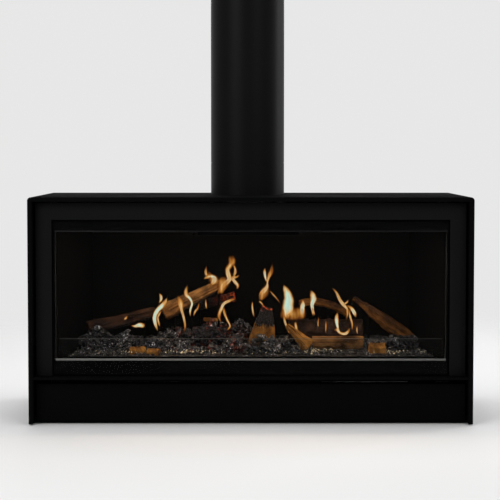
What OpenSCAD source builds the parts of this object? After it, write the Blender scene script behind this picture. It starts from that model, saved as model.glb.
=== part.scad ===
// Freestanding gas log fire with a balanced flue.
// Frame: +Z up, X across the front, the front looks along -Y.
// Origin: on the floor, under the middle of the casing.

/* [Casing] */
// Width over the side panels
casing_w = 1160; // [1100:10:1400]
// Depth from the front hem to the rear edge
casing_d = 410; // [400:5:480]
// Height of the casing above its glides
casing_h = 593; // [580:1:700]
// Sheet of the outer wrap
shell_t = 2; // [1.5:0.1:3]
// Outer bend radius of the two top corners
shell_bend_r = 9; // [4:0.5:20]
// Width of the hem round the front
hem_w = 11.5; // [8:0.5:16]
// Depth of the hem's inner return
hem_return = 22; // [12:1:24]
// Depth of the recess behind the rear panel
back_recess = 25; // [15:1:35]
// Sheet of the panels inside the casing
panel_t = 2; // [1.5:0.1:3]
// Height of the folded edges of the inner panels
panel_fold = 15; // [10:1:20]
// Height of the glides
foot_h = 3; // [2:0.5:10]
// Diameter of the glides
foot_d = 36; // [20:1:50]

/* [Front] */
// Fascia face behind the front hem
fascia_setback = 28; // [26:1:34]
// Sheet of the fascia
fascia_t = 1.5; // [1:0.1:2.5]
// Depth of the fascia's folded edges
fascia_return = 10; // [6:0.5:11]
// Width of the fascia's side bands
fascia_side = 42; // [30:1:60]
// Height of the fascia's top band
fascia_head = 45; // [30:1:60]
// Shadow gap between hem and fascia at the sides
fascia_side_gap = 5; // [3:0.5:8]
// Shadow gap between hem and fascia at the top
fascia_top_gap = 3.5; // [2:0.5:8]
// Top of the hearth ledge above the bottom of the casing
ledge_level = 122.5; // [116:0.5:140]
// Height of the ledge's front lip
ledge_lip = 6; // [5:0.5:9]
// Sheet of the ledge
ledge_t = 1.5; // [1:0.1:2]
// Outer bend radius of the ledge's front edge
ledge_bend_r = 2.5; // [2.1:0.1:3.5]

/* [Glass door] */
// Gap between the door and the fascia's window
door_gap = 3; // [2.6:0.1:5]
// Door face behind the fascia face
door_setback = 3; // [2:0.5:5]
// Depth of the door frame
door_depth = 12; // [11:0.5:14]
// Width of the rim round the glass
door_rim = 2; // [1.5:0.1:3.5]
// Height of the frame's top band
door_head = 26; // [20:1:40]
// Height of the frame's bottom band
door_foot = 37; // [34:1:50]
// Width of the frame's side bars
door_side = 4.5; // [4:0.5:20]
// Thickness of the ceramic glass
glass_t = 4; // [3:0.5:5]
// Height of the bright trim strip behind the glass
trim_h = 5; // [4:0.5:12]
// Thickness of the door seal
seal_t = 7; // [5:0.5:9]
// Width of the door seal
seal_w = 5; // [4:0.5:5.5]
// Radius of the door's hinge pins
door_pin_r = 2.5; // [2:0.1:3]
// Hinge pins below the top edge of the door
door_pin_drop = 10; // [9:0.5:12]
// How deep a hinge pin reaches into the door
door_pin_grip = 4.5; // [3:0.1:5.5]

/* [Firebox] */
// Sheet of the firebox
firebox_t = 2; // [1.5:0.1:3]
// Air gap between the firebox and the rear panel
firebox_gap = 37.7; // [30:0.1:50]
// Chamber's front opening inside each side of the window
chamber_inset = 8.5; // [8:0.5:40]
// How much narrower the chamber is at its back
chamber_splay = 124; // [60:2:160]
// Chamber floor above the bottom of the casing
chamber_level = 127; // [126:0.5:135]
// Chamber roof below the top of the window
roof_drop = 28; // [24:1:60]
// Sill of the chamber opening above the chamber floor
flange_sill = 32; // [28:1:33]

/* [Fuel bed] */
// Burner tray floor above the chamber floor
tray_stand = 26; // [24:0.5:32]
// Sheet of the burner tray
tray_t = 1.5; // [1:0.1:2]
// Height of the tray rim above its floor
tray_rim = 11; // [8:0.5:14]
// Gap between the burner tray and the chamber's back
tray_back_gap = 40; // [30:1:42]
// Gap between the tray and the chamber's splayed sides
tray_gap = 7; // [4:0.5:12]
// Height of the ember bed at its front
bed_front_h = 11; // [8:0.5:16]
// Height of the ember bed at its back
bed_back_h = 36; // [25:1:45]
// Radius of the steel pegs that carry the logs
peg_r = 3; // [2.5:0.1:3.5]
// Radius of the round foot of a peg
peg_foot_r = 9; // [7:0.5:11]
// Height of the low glass guard
guard_h = 62; // [40:1:70]
// Thickness of the low glass guard
guard_t = 4; // [3:0.5:5]

/* [Flue] */
// Outer diameter of the flue
flue_d = 204; // [180:1:204]
// Thickness of the flue's sheet
flue_wall = 1.5; // [1:0.1:2]
// Flue axis sideways from the middle of the casing
flue_x = -9; // [-20:1:20]
// Flue axis in front of the rear panel
flue_to_back = 108; // [108:1:130]
// Height of the outlet collar above the casing
collar_h = 87; // [60:1:120]
// Length of the flue pipe between its ends
flue_len = 500; // [250:10:1000]
// Length of the reduced ends that the next pipe slides over
spigot_len = 40; // [30:1:50]
// Diameter of the exhaust liner inside the flue
liner_d = 130; // [100:1:140]
// Thickness of the exhaust liner
liner_wall = 1; // [0.8:0.1:1.5]
// Depth of the liner's top socket
liner_socket = 38; // [30:1:50]

/* [Plinth] */
// Gap above the drop-down panel, where fingers go
flap_finger_gap = 15; // [12:0.5:18]
// Panel face behind the front hem
flap_setback = 25; // [24:0.5:27]
// Sheet of the drop-down panel
flap_t = 1.5; // [1:0.1:2]
// Depth of the panel's folded edges
flap_fold = 30; // [28:1:34]
// Gap between the panel and the hem at each side
flap_side_gap = 5.5; // [4:0.5:8]
// Bottom edge of the panel above the bottom of the casing
flap_clearance = 5; // [4.5:0.5:8]
// Radius of the panel's hinge pins
flap_pin_r = 3; // [2.5:0.1:3.5]

/* [Controls] */
// Gas knob in from the casing's right side
valve_inset = 330; // [280:5:380]
// Diameter of the gas knob
knob_d = 38; // [30:1:44]
// Depth of the gas knob
knob_depth = 18; // [14:1:22]
// Radius of the valve spindle
spindle_r = 4; // [3:0.1:5]
// Igniter in from the casing's right side
igniter_inset = 258; // [240:1:265]
// Diameter of the igniter button
igniter_d = 18; // [14:1:22]
// Travel of the igniter button
igniter_travel = 5; // [3:0.5:6]
// Fan switch in from the casing's right side
switch_inset = 195; // [180:1:205]
// Middle of the mains inlet in from the casing's left side
power_inset = 124; // [115:1:140]
// Radius of the gas pipes
pipe_r = 5; // [4:0.5:6]
// Bend radius of the gas pipes, to their middle
pipe_bend_r = 20; // [15:1:24]
// Radius of the gas inlet's plain end
inlet_r = 7.5; // [6:0.1:8]

/* [Blower] */
// Diameter of the blower's rotor
rotor_d = 60; // [50:1:64]
// Length of the blower's rotor
rotor_len = 300; // [200:5:340]
// Number of blades on the rotor
rotor_blades = 24; // [16:1:32]
// Radius of the rotor's shaft
shaft_r = 3; // [2.5:0.1:4]
// Sideways place of the rotor's left end
rotor_x = -340; // [-360:5:-300]

/* [Hidden] */
$fn = 64;

// Clearances: a seat, a running fit, and the gap past a moving piece
seat = 0.3;
run = 0.05;
pass = 1;

// Levels and faces of the casing
front_y = -casing_d / 2;
rear_y = casing_d / 2;
half_w = casing_w / 2;
low_z = foot_h;
top_z = foot_h + casing_h;
floor_z = low_z + panel_t;
back_y = rear_y - back_recess;
back_face_y = back_y - panel_t;
inner_half = half_w - shell_t - seat;

// Levels and faces of the front
fascia_y = front_y + fascia_setback;
fascia_half = half_w - hem_w - fascia_side_gap;
fascia_top = top_z - hem_w - fascia_top_gap;
window_half = fascia_half - fascia_side;
window_top = fascia_top - fascia_head;
ledge_z = low_z + ledge_level;
ledge_half = half_w - hem_w - seat;
ledge_front_y = front_y + seat;

// Glass door
door_y = fascia_y + door_setback;
door_back_y = door_y + door_depth;
door_half = window_half - door_gap;
door_top = window_top - door_gap;
door_low = ledge_z + door_gap - 0.5;
glass_pocket = glass_t + seat;
sight_low = door_low + door_foot;
sight_top = door_top - door_head;
sight_half = door_half - door_side;
door_axis_y = door_y + glass_pocket + door_pin_r + seat;
door_axis_z = door_top - door_pin_drop;
flange_y = door_back_y + seal_t + seat;

// Firebox
chamber_y = flange_y + firebox_t;
chamber_back_y = back_face_y - firebox_gap - firebox_t;
chamber_d = chamber_back_y - chamber_y;
chamber_z = low_z + chamber_level;
chamber_top = window_top - roof_drop;
chamber_h = chamber_top - chamber_z;
chamber_front = window_half - chamber_inset;
chamber_back = chamber_front - chamber_splay / 2;
splay = (chamber_front - chamber_back) / chamber_d;
flange_low = chamber_z + flange_sill;
flange_top = chamber_top - 4;
flange_half = chamber_front - 2;

// Burner tray, whose floor carries the pegs and the embers
tray_z = chamber_z + tray_stand;
tray_top = tray_z + tray_t;
tray_y = chamber_y + 31;
tray_back_y = chamber_back_y - tray_back_gap;
tray_d = tray_back_y - tray_y;
fuel_d = tray_d / 220;
fuel_y = tray_y + 136 * fuel_d;
fuel_k = tray_half(tray_y) / 500;

// Flue
flue_y = back_face_y - flue_to_back;
flue_r = flue_d / 2;
spigot_r = flue_r - flue_wall - seat;
liner_r = liner_d / 2;
collar_top = top_z + collar_h;
pipe_low = collar_top + pass;
pipe_top = pipe_low + flue_len;
flue_end = pipe_top + spigot_len;
socket_r = liner_r + 1.2;
collar_flange_r = flue_r + 5;

// Drop-down panel
flap_y = front_y + flap_setback;
flap_half = half_w - hem_w - flap_side_gap;
flap_low = low_z + flap_clearance;
flap_top = ledge_z - ledge_lip - flap_finger_gap;
flap_axis_y = flap_y + flap_t + flap_pin_r + 0.5;
flap_axis_z = flap_low + flap_t + flap_pin_r + 1.5;
rail_y = flap_y + flap_fold - 3;

// Control plate and what it carries
plate_y = flap_y + 68;
valve_x = half_w - valve_inset;
igniter_x = half_w - igniter_inset;
switch_x = half_w - switch_inset;
power_x = power_inset - half_w;
plate_low_x = valve_x - 55;
plate_high_x = switch_x + 35;
control_z = floor_z + 55;
knob_y = plate_y - seat - knob_depth;
valve_y = plate_y + panel_t + 35;
valve_w = 56;
valve_h = 44;
nut_len = 12;
inlet_x = valve_x - valve_w / 2 - nut_len - 40;
burner_pipe_x = valve_x + valve_w / 2 + nut_len + 40;
cock_y = back_face_y - 48;
cock_len = 40;
cock_r = 12;
burner_y = valve_y;
burner_z = chamber_z + tray_stand / 2;
burner_r = 9;
burner_right_x = burner_pipe_x - 20;
burner_left_x = -chamber_back + 40;
shutter_len = 25;

// Blower
rotor_r = rotor_d / 2;
blower_y = back_face_y - rotor_r - 36;
blower_z = floor_z + rotor_r + 17;
rotor_end_x = rotor_x + rotor_len;
cheek_t = 2;
scroll_gap = 3;
motor_len = 48;
motor_r = 27;

// Fuel pieces: [path of three points, first radius, last radius, flatness, seed, seat].
// The seat is the list of places of the pegs, or the height of the flat underside in the embers.
// A path's points are [across, back from the middle of the bed, above the tray].
log_sides = 10;
log_rings = 9;
split_path = [at(-240, 0, 111), at(-150, 0, 158), at(-60, 0, 200)];
back_left_path = [at(-450, -26, 72), at(-360, 14, 84), at(-268, 52, 107)];
charred_left_path = [at(-466, -74, 36), at(-384, -72, 42), at(-302, -76, 34)];
charred_middle_path = [at(-156, -44, 50), at(-110, -42, 58), at(-66, -46, 50)];
stub_path = [at(-162, 58, 120), at(-104, 58, 138), at(-44, 58, 150)];
dark_path = [at(107, 0, 62), at(210, 2, 60), at(310, 0, 58)];
plank_path = [at(203, -66, 37), at(254, -66, 40), at(305, -66, 37)];
stick_path = [at(93, -99, 92), at(130, -99, 60), at(166, -99, 28)];
arch_path = [at(137, 58, 130), at(205, 58, 148), at(276, 58, 101)];
branch_path = [at(284, 0, 153), at(350, 0, 130), at(448, 0, 52)];
charred_right_path = [at(368, -74, 38), at(402, -74, 44), at(436, -74, 36)];
split_log = [split_path, 25, 11, 1.0, 20, [0.16, 0.84]];
back_left_log = [back_left_path, 20, 16, 1.0, 75, [0.16, 0.84]];
charred_left_log = [charred_left_path, 20, 19, 1.0, 130, 17];
charred_middle_log = [charred_middle_path, 28, 24, 1.0, 210, 21.6];
stub_log = [stub_path, 12, 14, 1.0, 300, [0.16, 0.84]];
dark_log = [dark_path, 33, 33, 1.0, 40, [0.12, 0.84]];
plank_log = [plank_path, 9, 9, 1.9, 160, 18.6];
stick_log = [stick_path, 9.5, 9, 1.3, 262, 15.6];
arch_log = [arch_path, 10, 11, 1.0, 10, [0.16, 0.84]];
branch_log = [branch_path, 8, 27, 1.0, 95, [0.3, 0.84]];
charred_right_log = [charred_right_path, 18, 18, 1.0, 330, 17.6];
pegged_logs = [split_log, back_left_log, stub_log, dark_log, arch_log, branch_log];
bedded_logs = [charred_left_log, charred_middle_log, plank_log, stick_log, charred_right_log];
block_size = [80, 50, 117];
block_at = at(26, -49, 19);
// Loose chunks: [place, size, turn]
chunks = [
    [at(-305, -112, 10), [44, 20, 24], 12],
    [at(-262, -118, 8), [34, 18, 22], -16],
    [at(340, -112, 10), [44, 26, 34], 8]];

// Half width of the tray at a depth
function tray_half(y) = chamber_front - splay * (y - chamber_y) - tray_gap;
// Place in the fuel bed, in the casing's frame
function at(x, y, z) = [x * fuel_k, fuel_y + y * fuel_d, tray_top + z];
// Point on a curve through three guide points
function bez(p, s) = (1 - s) * (1 - s) * p[0] + 2 * s * (1 - s) * p[1] + s * s * p[2];
function log_r(log, s) = log[1] + (log[2] - log[1]) * s;
// Bark profile round a log, as a share of its radius
function bark(a, seed, s) = 1 + 0.09 * sin(3 * a + seed + 220 * s) + 0.06 * sin(5 * a - 2 * seed + 400 * s);
function log_ring(log, s) = let (c = bez(log[0], s), r = log_r(log, s)) [
    for (k = [0 : log_sides - 1])
        let (a = 360 * k / log_sides, q = r * bark(a, log[4], s))
        [c[0], c[1] + q * cos(a), c[2] + q * log[3] * sin(a)]];
// Middle of the seat of a peg in a log
function peg_seat(log, s) = bez(log[0], s) - [0, 0, 0.25 * log_r(log, s) * log[3]];
// Low side walls of the box that a bedded log presses into the embers
function log_low(log) = [log[0][0][0] - 2, log[0][1][1] - 1.25 * max(log[1], log[2]) - 1];
function log_high(log) = [log[0][2][0] + 2, log[0][1][1] + 1.25 * max(log[1], log[2]) + 1];

module block(lo, hi) { translate(lo) cube(hi - lo); }
module rod_x(x0, x1, y, z, r) { translate([x0, y, z]) rotate([0, 90, 0]) cylinder(h = x1 - x0, r = r); }
module rod_y(y0, y1, x, z, r) { translate([x, y1, z]) rotate([90, 0, 0]) cylinder(h = y1 - y0, r = r); }
module rod_z(z0, z1, x, y, r) { translate([x, y, z0]) cylinder(h = z1 - z0, r = r); }
module along_y(y0, y1) { translate([0, y1, 0]) rotate([90, 0, 0]) linear_extrude(y1 - y0) children(); }
module along_x(x0, x1) { translate([x0, 0, 0]) rotate([90, 0, 90]) linear_extrude(x1 - x0) children(); }
module rect(x0, z0, x1, z1) { translate([x0, z0]) square([x1 - x0, z1 - z0]); }
module both_sides() {
    children();
    mirror([1, 0, 0]) children();
}
module tube_z(z0, z1, r, wall) {
    difference() {
        rod_z(z0, z1, 0, 0, r);
        rod_z(z0 - 1, z1 + 1, 0, 0, r - wall);
    }
}
module slot_2d(len, w) {
    square([len - w, w], center = true);
    translate([-(len - w) / 2, 0]) circle(d = w);
    translate([(len - w) / 2, 0]) circle(d = w);
}

// Outline of the wrap, moved inwards by an inset, down to a level
module wrap_outline(inset, low) {
    r = max(shell_bend_r - inset, 0.6);
    w = half_w - inset;
    h = top_z - inset;
    rect(-w, low, w, h - r);
    rect(-w + r, low, w - r, h);
    translate([-w + r, h - r]) circle(r);
    translate([w - r, h - r]) circle(r);
}
module wrap_ring(outer, inner) {
    difference() {
        wrap_outline(outer, low_z);
        wrap_outline(inner, low_z - 1);
    }
}
module casing_shell() {
    color("#2f2f31") difference() {
        union() {
            along_y(front_y, rear_y) wrap_ring(0, shell_t);
            along_y(front_y, front_y + shell_t) wrap_ring(0, hem_w);
            along_y(front_y, front_y + hem_return) wrap_ring(hem_w - shell_t, hem_w);
        }
        rod_z(top_z - hem_w, top_z + 1, flue_x, flue_y, flue_r + seat);
    }
}

// Rear panel: folded rearwards all round, with two rows of air slots
module casing_back() {
    w = inner_half;
    h0 = floor_z;
    h1 = top_z - shell_t - seat;
    pitch = 70;
    slots = floor((2 * w - 200) / pitch);
    color("#3a3a3c") difference() {
        intersection() {
            along_y(back_face_y, rear_y) wrap_outline(shell_t + seat, low_z);
            union() {
                block([-w, back_face_y, h0], [w, back_y, h1]);
                both_sides() block([w - panel_t, back_y, h0], [w, back_y + panel_fold, h1]);
                block([-w, back_y, h1 - panel_t], [w, back_y + panel_fold, h1]);
                block([-w, back_y, h0], [w, back_y + panel_fold, h0 + panel_t]);
            }
        }
        along_y(back_face_y - 1, back_y + 1)
            for (i = [0 : slots - 1], z = [h0 + 150, h1 - 60])
                translate([(i - (slots - 1) / 2) * pitch, z]) slot_2d(52, 7);
        rod_y(back_face_y - 1, back_y + 1, inlet_x, control_z, inlet_r + 3);
        block([power_x - 14, back_face_y - 1, control_z - 14], [power_x + 14, back_y + 1, control_z + 14]);
    }
}

// Base pan with low side folds and four holes for fixing it to the floor
module base_pan() {
    y0 = front_y + hem_return + 1;
    y1 = back_face_y - seat;
    color("#3a3a3c") difference() {
        union() {
            block([-inner_half, y0, low_z], [inner_half, y1, floor_z]);
            both_sides() block([inner_half - panel_t, y0, low_z], [inner_half, y1, floor_z + panel_fold]);
            block([-inner_half, y1 - panel_t, low_z], [inner_half, y1, floor_z + panel_fold]);
        }
        for (x = [-1, 1], y = [-1, 1])
            rod_z(low_z - 1, floor_z + 1, x * (half_w - 60), y * 100, 4.5);
        block([-460, y1 - panel_t - 1, control_z - 20], [-440, y1 + 1, control_z + 20]);
    }
}
module glides() {
    color("#111111")
        for (x = [-1, 1], y = [front_y + 55, rear_y - 55])
            rod_z(0, foot_h, x * (half_w - 30), y, foot_d / 2);
}

// Three-sided fascia, folded back round its outer and inner edges
module fascia_outline(inset) {
    rect(-fascia_half + inset, ledge_z + seat - (inset > 0 ? 1 : 0), fascia_half - inset, fascia_top - inset);
}
module window_outline(grow) {
    rect(-window_half - grow, ledge_z - 1, window_half + grow, window_top + grow);
}
module fascia_sheet() {
    union() {
        along_y(fascia_y, fascia_y + fascia_t) difference() {
            fascia_outline(0);
            window_outline(0);
        }
        along_y(fascia_y, fascia_y + fascia_return) difference() {
            fascia_outline(0);
            fascia_outline(fascia_t);
        }
        along_y(fascia_y, fascia_y + fascia_return) difference() {
            intersection() {
                window_outline(fascia_t);
                fascia_outline(0);
            }
            window_outline(0);
        }
    }
}
module fascia_frame() {
    r = door_pin_r + 0.5;
    color("#38383b") difference() {
        fascia_sheet();
        both_sides()
            block(
                [window_half - 1, door_axis_y - r, door_axis_z - r],
                [window_half + fascia_t + 0.4, door_back_y, door_axis_z + r]);
    }
}

// Spring clips that hold the fascia's folded edge off the side panels
module fascia_clips() {
    y0 = fascia_y + fascia_return + seat;
    color("#8c8c8e") both_sides()
        for (z = [ledge_z + 80, fascia_top - 100]) {
            block([fascia_half - 14, y0, z], [inner_half, y0 + panel_t, z + 30]);
            block([inner_half - panel_t, y0, z], [inner_half, y0 + 22, z + 30]);
        }
}

// Ledge in front of the window: one folded sheet with a rounded front edge
module ledge_profile() {
    r = ledge_bend_r;
    y = ledge_front_y;
    rect(y + r, ledge_z - ledge_t, flange_y - seat, ledge_z);
    rect(y, ledge_z - ledge_lip, y + ledge_t, ledge_z - r);
    rect(y, ledge_z - ledge_lip, y + 9, ledge_z - ledge_lip + ledge_t);
    translate([y + r, ledge_z - r]) intersection() {
        difference() {
            circle(r);
            circle(r - ledge_t);
        }
        translate([-r, 0]) square(r);
    }
}
module hearth_ledge() {
    color("#333336") along_x(-ledge_half, ledge_half) ledge_profile();
}
module cross_rail() {
    top = ledge_z - ledge_t;
    color("#4a4a4c") along_x(-inner_half, inner_half) {
        rect(rail_y - 20, top - panel_t, rail_y, top);
        rect(rail_y - panel_t, flap_top + 3.5, rail_y, top);
    }
}

// Outlet collar: flange under the casing top, plain tube, reduced end
module flue_collar() {
    low = top_z - shell_t - panel_t;
    color("#2a2a2c") translate([flue_x, flue_y, 0]) difference() {
        union() {
            rod_z(low, low + panel_t, 0, 0, collar_flange_r);
            rod_z(low, collar_top, 0, 0, flue_r);
            rod_z(collar_top - 1, collar_top + spigot_len, 0, 0, spigot_r);
        }
        rod_z(low - 1, collar_top + spigot_len + 1, 0, 0, spigot_r - flue_wall);
    }
}
module flue_pipe() {
    color("#2a2a2c") translate([flue_x, flue_y, 0]) difference() {
        union() {
            rod_z(pipe_low, pipe_top, 0, 0, flue_r);
            rod_z(pipe_top - 1, flue_end, 0, 0, spigot_r);
        }
        rod_z(pipe_low - 1, pipe_top - 6, 0, 0, flue_r - flue_wall);
        rod_z(pipe_low - 1, flue_end + 1, 0, 0, spigot_r - flue_wall);
    }
}
module flue_liner() {
    low = chamber_top - 3;
    color("#9a9a9c") translate([flue_x, flue_y, 0]) difference() {
        union() {
            rod_z(low, flue_end, 0, 0, liner_r);
            rod_z(flue_end - liner_socket - 2, flue_end, 0, 0, socket_r + liner_wall);
        }
        rod_z(low - 1, flue_end + 1, 0, 0, liner_r - liner_wall);
        rod_z(flue_end - liner_socket, flue_end + 1, 0, 0, socket_r);
    }
}

// Leaf spacers that keep the liner in the middle of the flue
module flue_spacers() {
    outer = spigot_r - flue_wall - seat;
    color("#9a9a9c") translate([flue_x, flue_y, 0])
        for (z = [collar_top - 30, pipe_top - 90], a = [30 : 120 : 270])
            rotate([0, 0, a]) block([liner_r + seat, -10, z], [outer - 1, 10, z + 1.2]);
}
module intake_duct() {
    color("#6d6d6f") translate([flue_x, flue_y, 0])
        tube_z(chamber_top + firebox_t, top_z - shell_t - panel_t, flue_r + 2, flue_wall);
}

// Door frame: a rabbeted ring with a high bottom band behind the glass
module door_ring(x, z0, z1, y0, y1) { along_y(y0, y1) rect(-x, z0, x, z1); }
module door_frame() {
    rim = door_rim;
    color("#141414") difference() {
        door_ring(door_half, door_low, door_top, door_y, door_back_y);
        door_ring(sight_half, sight_low, sight_top, door_y - 1, door_back_y + 1);
        door_ring(door_half - rim, door_low + rim, door_top - rim, door_y - 1, door_y + glass_pocket);
        both_sides()
            rod_x(door_half - door_pin_grip - 0.5, door_half + 1, door_axis_y, door_axis_z, door_pin_r + run);
    }
}
module door_glass() {
    rim = door_rim + seat;
    color([0.55, 0.6, 0.62, 0.35])
        door_ring(door_half - rim, door_low + rim, door_top - rim, door_y, door_y + glass_t);
}

// Rope seal on the back of the frame, round the chamber opening
module door_seal() {
    x = door_half - 0.5;
    z0 = door_low + 9;
    z1 = door_axis_z - 3;
    color("#d8d2c4") difference() {
        door_ring(x, z0, z1, door_back_y, door_back_y + seal_t);
        door_ring(x - seal_w, z0 + seal_w, z1 - seal_w, door_back_y - 1, door_back_y + seal_t + 1);
    }
}

// Bright strip along the top of the bottom band, and a thin one under the top band
module door_trim() {
    y0 = door_y + glass_pocket;
    color("#c9c9cc") {
        block([-sight_half + seat, y0, sight_low], [sight_half - seat, y0 + 4, sight_low + trim_h]);
        block([-sight_half + seat, y0, sight_top - 2.5], [sight_half - seat, y0 + 2, sight_top]);
    }
}

// Hinge pins with their ears on the firebox flange
module door_pins() {
    x0 = window_half + fascia_t + 0.8;
    color("#b0b0b2") both_sides() {
        rod_x(door_half - door_pin_grip, x0 + 1, door_axis_y, door_axis_z, door_pin_r);
        block([x0, door_axis_y - 3.6, door_axis_z - 9], [x0 + 3, flange_y, door_axis_z + 6]);
        block([x0, flange_y - 2, door_axis_z - 9], [x0 + 16, flange_y, door_axis_z + 6]);
    }
}

// Plan of the chamber between two depths, grown outwards by a wall
module chamber_plan(y0, y1, grow) {
    w0 = chamber_front - splay * (y0 - chamber_y) + grow;
    w1 = chamber_front - splay * (y1 - chamber_y) + grow;
    polygon([[-w0, y0], [w0, y0], [w1, y1], [-w1, y1]]);
}

// Floor, roof and back of the firebox: three sheets tacked together
module firebox_wrapper() {
    y1 = chamber_back_y;
    color("#262628") difference() {
        union() {
            translate([0, 0, chamber_z - firebox_t]) linear_extrude(firebox_t) chamber_plan(chamber_y, y1, 0);
            translate([0, 0, chamber_top]) linear_extrude(firebox_t) chamber_plan(chamber_y, y1, 0);
            translate([0, run, 0])
                block(
                    [-chamber_back, y1, chamber_z - firebox_t],
                    [chamber_back, y1 + firebox_t, chamber_top + firebox_t]);
        }
        rod_z(chamber_top - 1, chamber_top + firebox_t + 1, flue_x, flue_y, liner_r + seat);
        rod_z(chamber_z - firebox_t - 1, chamber_z + 1, burner_pipe_x, burner_y, pipe_r + 1);
    }
}
module firebox_sides() {
    color("#1f1f21") translate([0, 0, chamber_z - firebox_t])
        linear_extrude(chamber_h + 2 * firebox_t)
            both_sides()
                polygon([
                    [chamber_front, chamber_y], [chamber_front + firebox_t, chamber_y],
                    [chamber_back + firebox_t, chamber_back_y + firebox_t],
                    [chamber_back, chamber_back_y + firebox_t], [chamber_back, chamber_back_y]]);
}
module firebox_flange() {
    color("#1b1b1d") along_y(flange_y, flange_y + firebox_t) difference() {
        rect(-fascia_half + 8, ledge_z + seat, fascia_half - 8, chamber_top + 30);
        rect(-flange_half, flange_low, flange_half, flange_top);
    }
}

// Channel legs that stand on the base pan and carry the firebox
module firebox_legs() {
    w = 40;
    color("#4a4a4c") for (s = [-1, 1], y = [chamber_y + 40, chamber_back_y - 60])
        translate([s * (chamber_front - splay * (y - chamber_y) - 33), y, floor_z]) difference() {
            block([-w / 2, -w / 2, 0], [w / 2, w / 2, chamber_z - firebox_t - floor_z]);
            block([-w / 2 + panel_t, -w / 2 + panel_t, -1], [w / 2 - panel_t, w, chamber_z]);
        }
}

// Baffle under the flue outlet, hung on four studs
module baffle_plate() {
    z = chamber_top - 22;
    color("#262628") translate([flue_x, flue_y - 5, 0]) {
        block([-150, -110, z], [150, 70, z + firebox_t]);
        for (x = [-1, 1], y = [-100, 60])
            rod_z(z, chamber_top, x * 140, y, 4);
    }
}

// Burner tray: a rimmed pan that follows the splayed sides, on four feet
module tray_plan(inset) {
    y0 = tray_y + inset;
    y1 = tray_back_y - inset;
    w0 = tray_half(y0) - inset;
    w1 = tray_half(y1) - inset;
    polygon([[-w0, y0], [w0, y0], [w1, y1], [-w1, y1]]);
}
module burner_tray() {
    color("#2c2a28") union() {
        difference() {
            translate([0, 0, tray_z]) linear_extrude(tray_t + tray_rim) tray_plan(0);
            translate([0, 0, tray_top]) linear_extrude(tray_rim + 1) tray_plan(tray_t);
        }
        for (x = [-1, 1], y = [tray_y + 8, tray_back_y - 22])
            translate([x * (tray_half(tray_back_y) - 20), y, chamber_z]) difference() {
                block([-7, 0, 0], [7, 14, tray_stand]);
                block([-7 + tray_t, tray_t, -1], [8, 15, tray_stand + 1]);
            }
    }
}

// Burner tube with a row of ports, and an air slot near its open end
module burner_tube() {
    ports = 26;
    x0 = burner_left_x;
    x1 = burner_right_x;
    step = (x1 - x0 - 90) / ports;
    color("#8f8f92") difference() {
        rod_x(x0, x1, burner_y, burner_z, burner_r);
        rod_x(x0 + 2, x1 + 1, burner_y, burner_z, burner_r - 1);
        for (i = [1 : ports])
            rod_z(burner_z, burner_z + burner_r + 1, x0 + i * step, burner_y, 1.6);
        block([x1 - 26, burner_y - burner_r - 1, burner_z - 3], [x1 - 14, burner_y, burner_z + 3]);
    }
    color("#6d6d6f") for (x = [x0 + 60, x1 - 80])
        block([x - 6, burner_y - 6, chamber_z], [x + 6, burner_y + 6, burner_z - burner_r + 0.4]);
}

// Sleeve on the burner's open end, turned to set the air
module air_shutter() {
    x1 = burner_right_x - 6;
    color("#b59a55") difference() {
        union() {
            rod_x(x1 - shutter_len, x1, burner_y, burner_z, burner_r + 1.5);
            block(
                [x1 - 16, burner_y - burner_r - 6, burner_z - 1],
                [x1 - 8, burner_y - burner_r, burner_z + 1]);
        }
        rod_x(x1 - shutter_len - 1, x1 + 1, burner_y, burner_z, burner_r + run);
        block([x1 - 22, burner_y - burner_r - 2, burner_z + 2], [x1 - 6, burner_y - 2, burner_z + 6]);
    }
}

// Jet on top of the burner pipe, aimed into the burner tube
module gas_jet() {
    color("#b59a55") union() {
        block([burner_pipe_x - 8, burner_y - 8, chamber_z], [burner_pipe_x + 8, burner_y + 8, burner_z + 8]);
        rod_x(burner_pipe_x - 15, burner_pipe_x - 8, burner_y, burner_z, 4);
    }
}

// Pilot burner: bracket, hood, flame sensor and spark electrode
module pilot_burner() {
    x = 60;
    y = tray_y - 9;
    color("#8f8f92") union() {
        block([x - 22, y - 6, chamber_z], [x + 22, y + 6, chamber_z + 2]);
        block([x - 22, y - 6, chamber_z + 24], [x + 22, y + 6, chamber_z + 26]);
        block([x - 22, y - 6, chamber_z], [x - 20, y + 6, chamber_z + 26]);
        rod_z(chamber_z + 10, chamber_z + 36, x, y, 5);
        rod_z(chamber_z + 10, chamber_z + 38, x - 12, y, 3);
        rod_z(chamber_z + 10, chamber_z + 40, x + 12, y, 1.5);
    }
}

// Low clear guard between the fuel bed and the door, in two clips
module glass_guard() {
    x = flange_half - 4;
    y = chamber_y + 8;
    color([0.7, 0.78, 0.8, 0.3])
        block([-x, y, chamber_z + 1.5], [x, y + guard_t, chamber_z + 1.5 + guard_h + tray_stand]);
    color("#8f8f92") for (s = [-1, 0, 1])
        difference() {
            block([s * 380 - 12, y - 2, chamber_z], [s * 380 + 12, y + guard_t + 2, chamber_z + 12]);
            block(
                [s * 380 - 13, y - seat / 2, chamber_z + 1.3],
                [s * 380 + 13, y + guard_t + seat / 2, chamber_z + 13]);
        }
}

// Steel pegs with round feet, which stand in the tray and carry the logs
module log_pegs() {
    color("#4a4a4c") for (log = pegged_logs, s = log[5]) {
        p = peg_seat(log, s);
        rod_z(tray_top, tray_top + 2, p[0], p[1], peg_foot_r);
        rod_z(tray_top, p[2] - seat, p[0], p[1], peg_r);
    }
}

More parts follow.
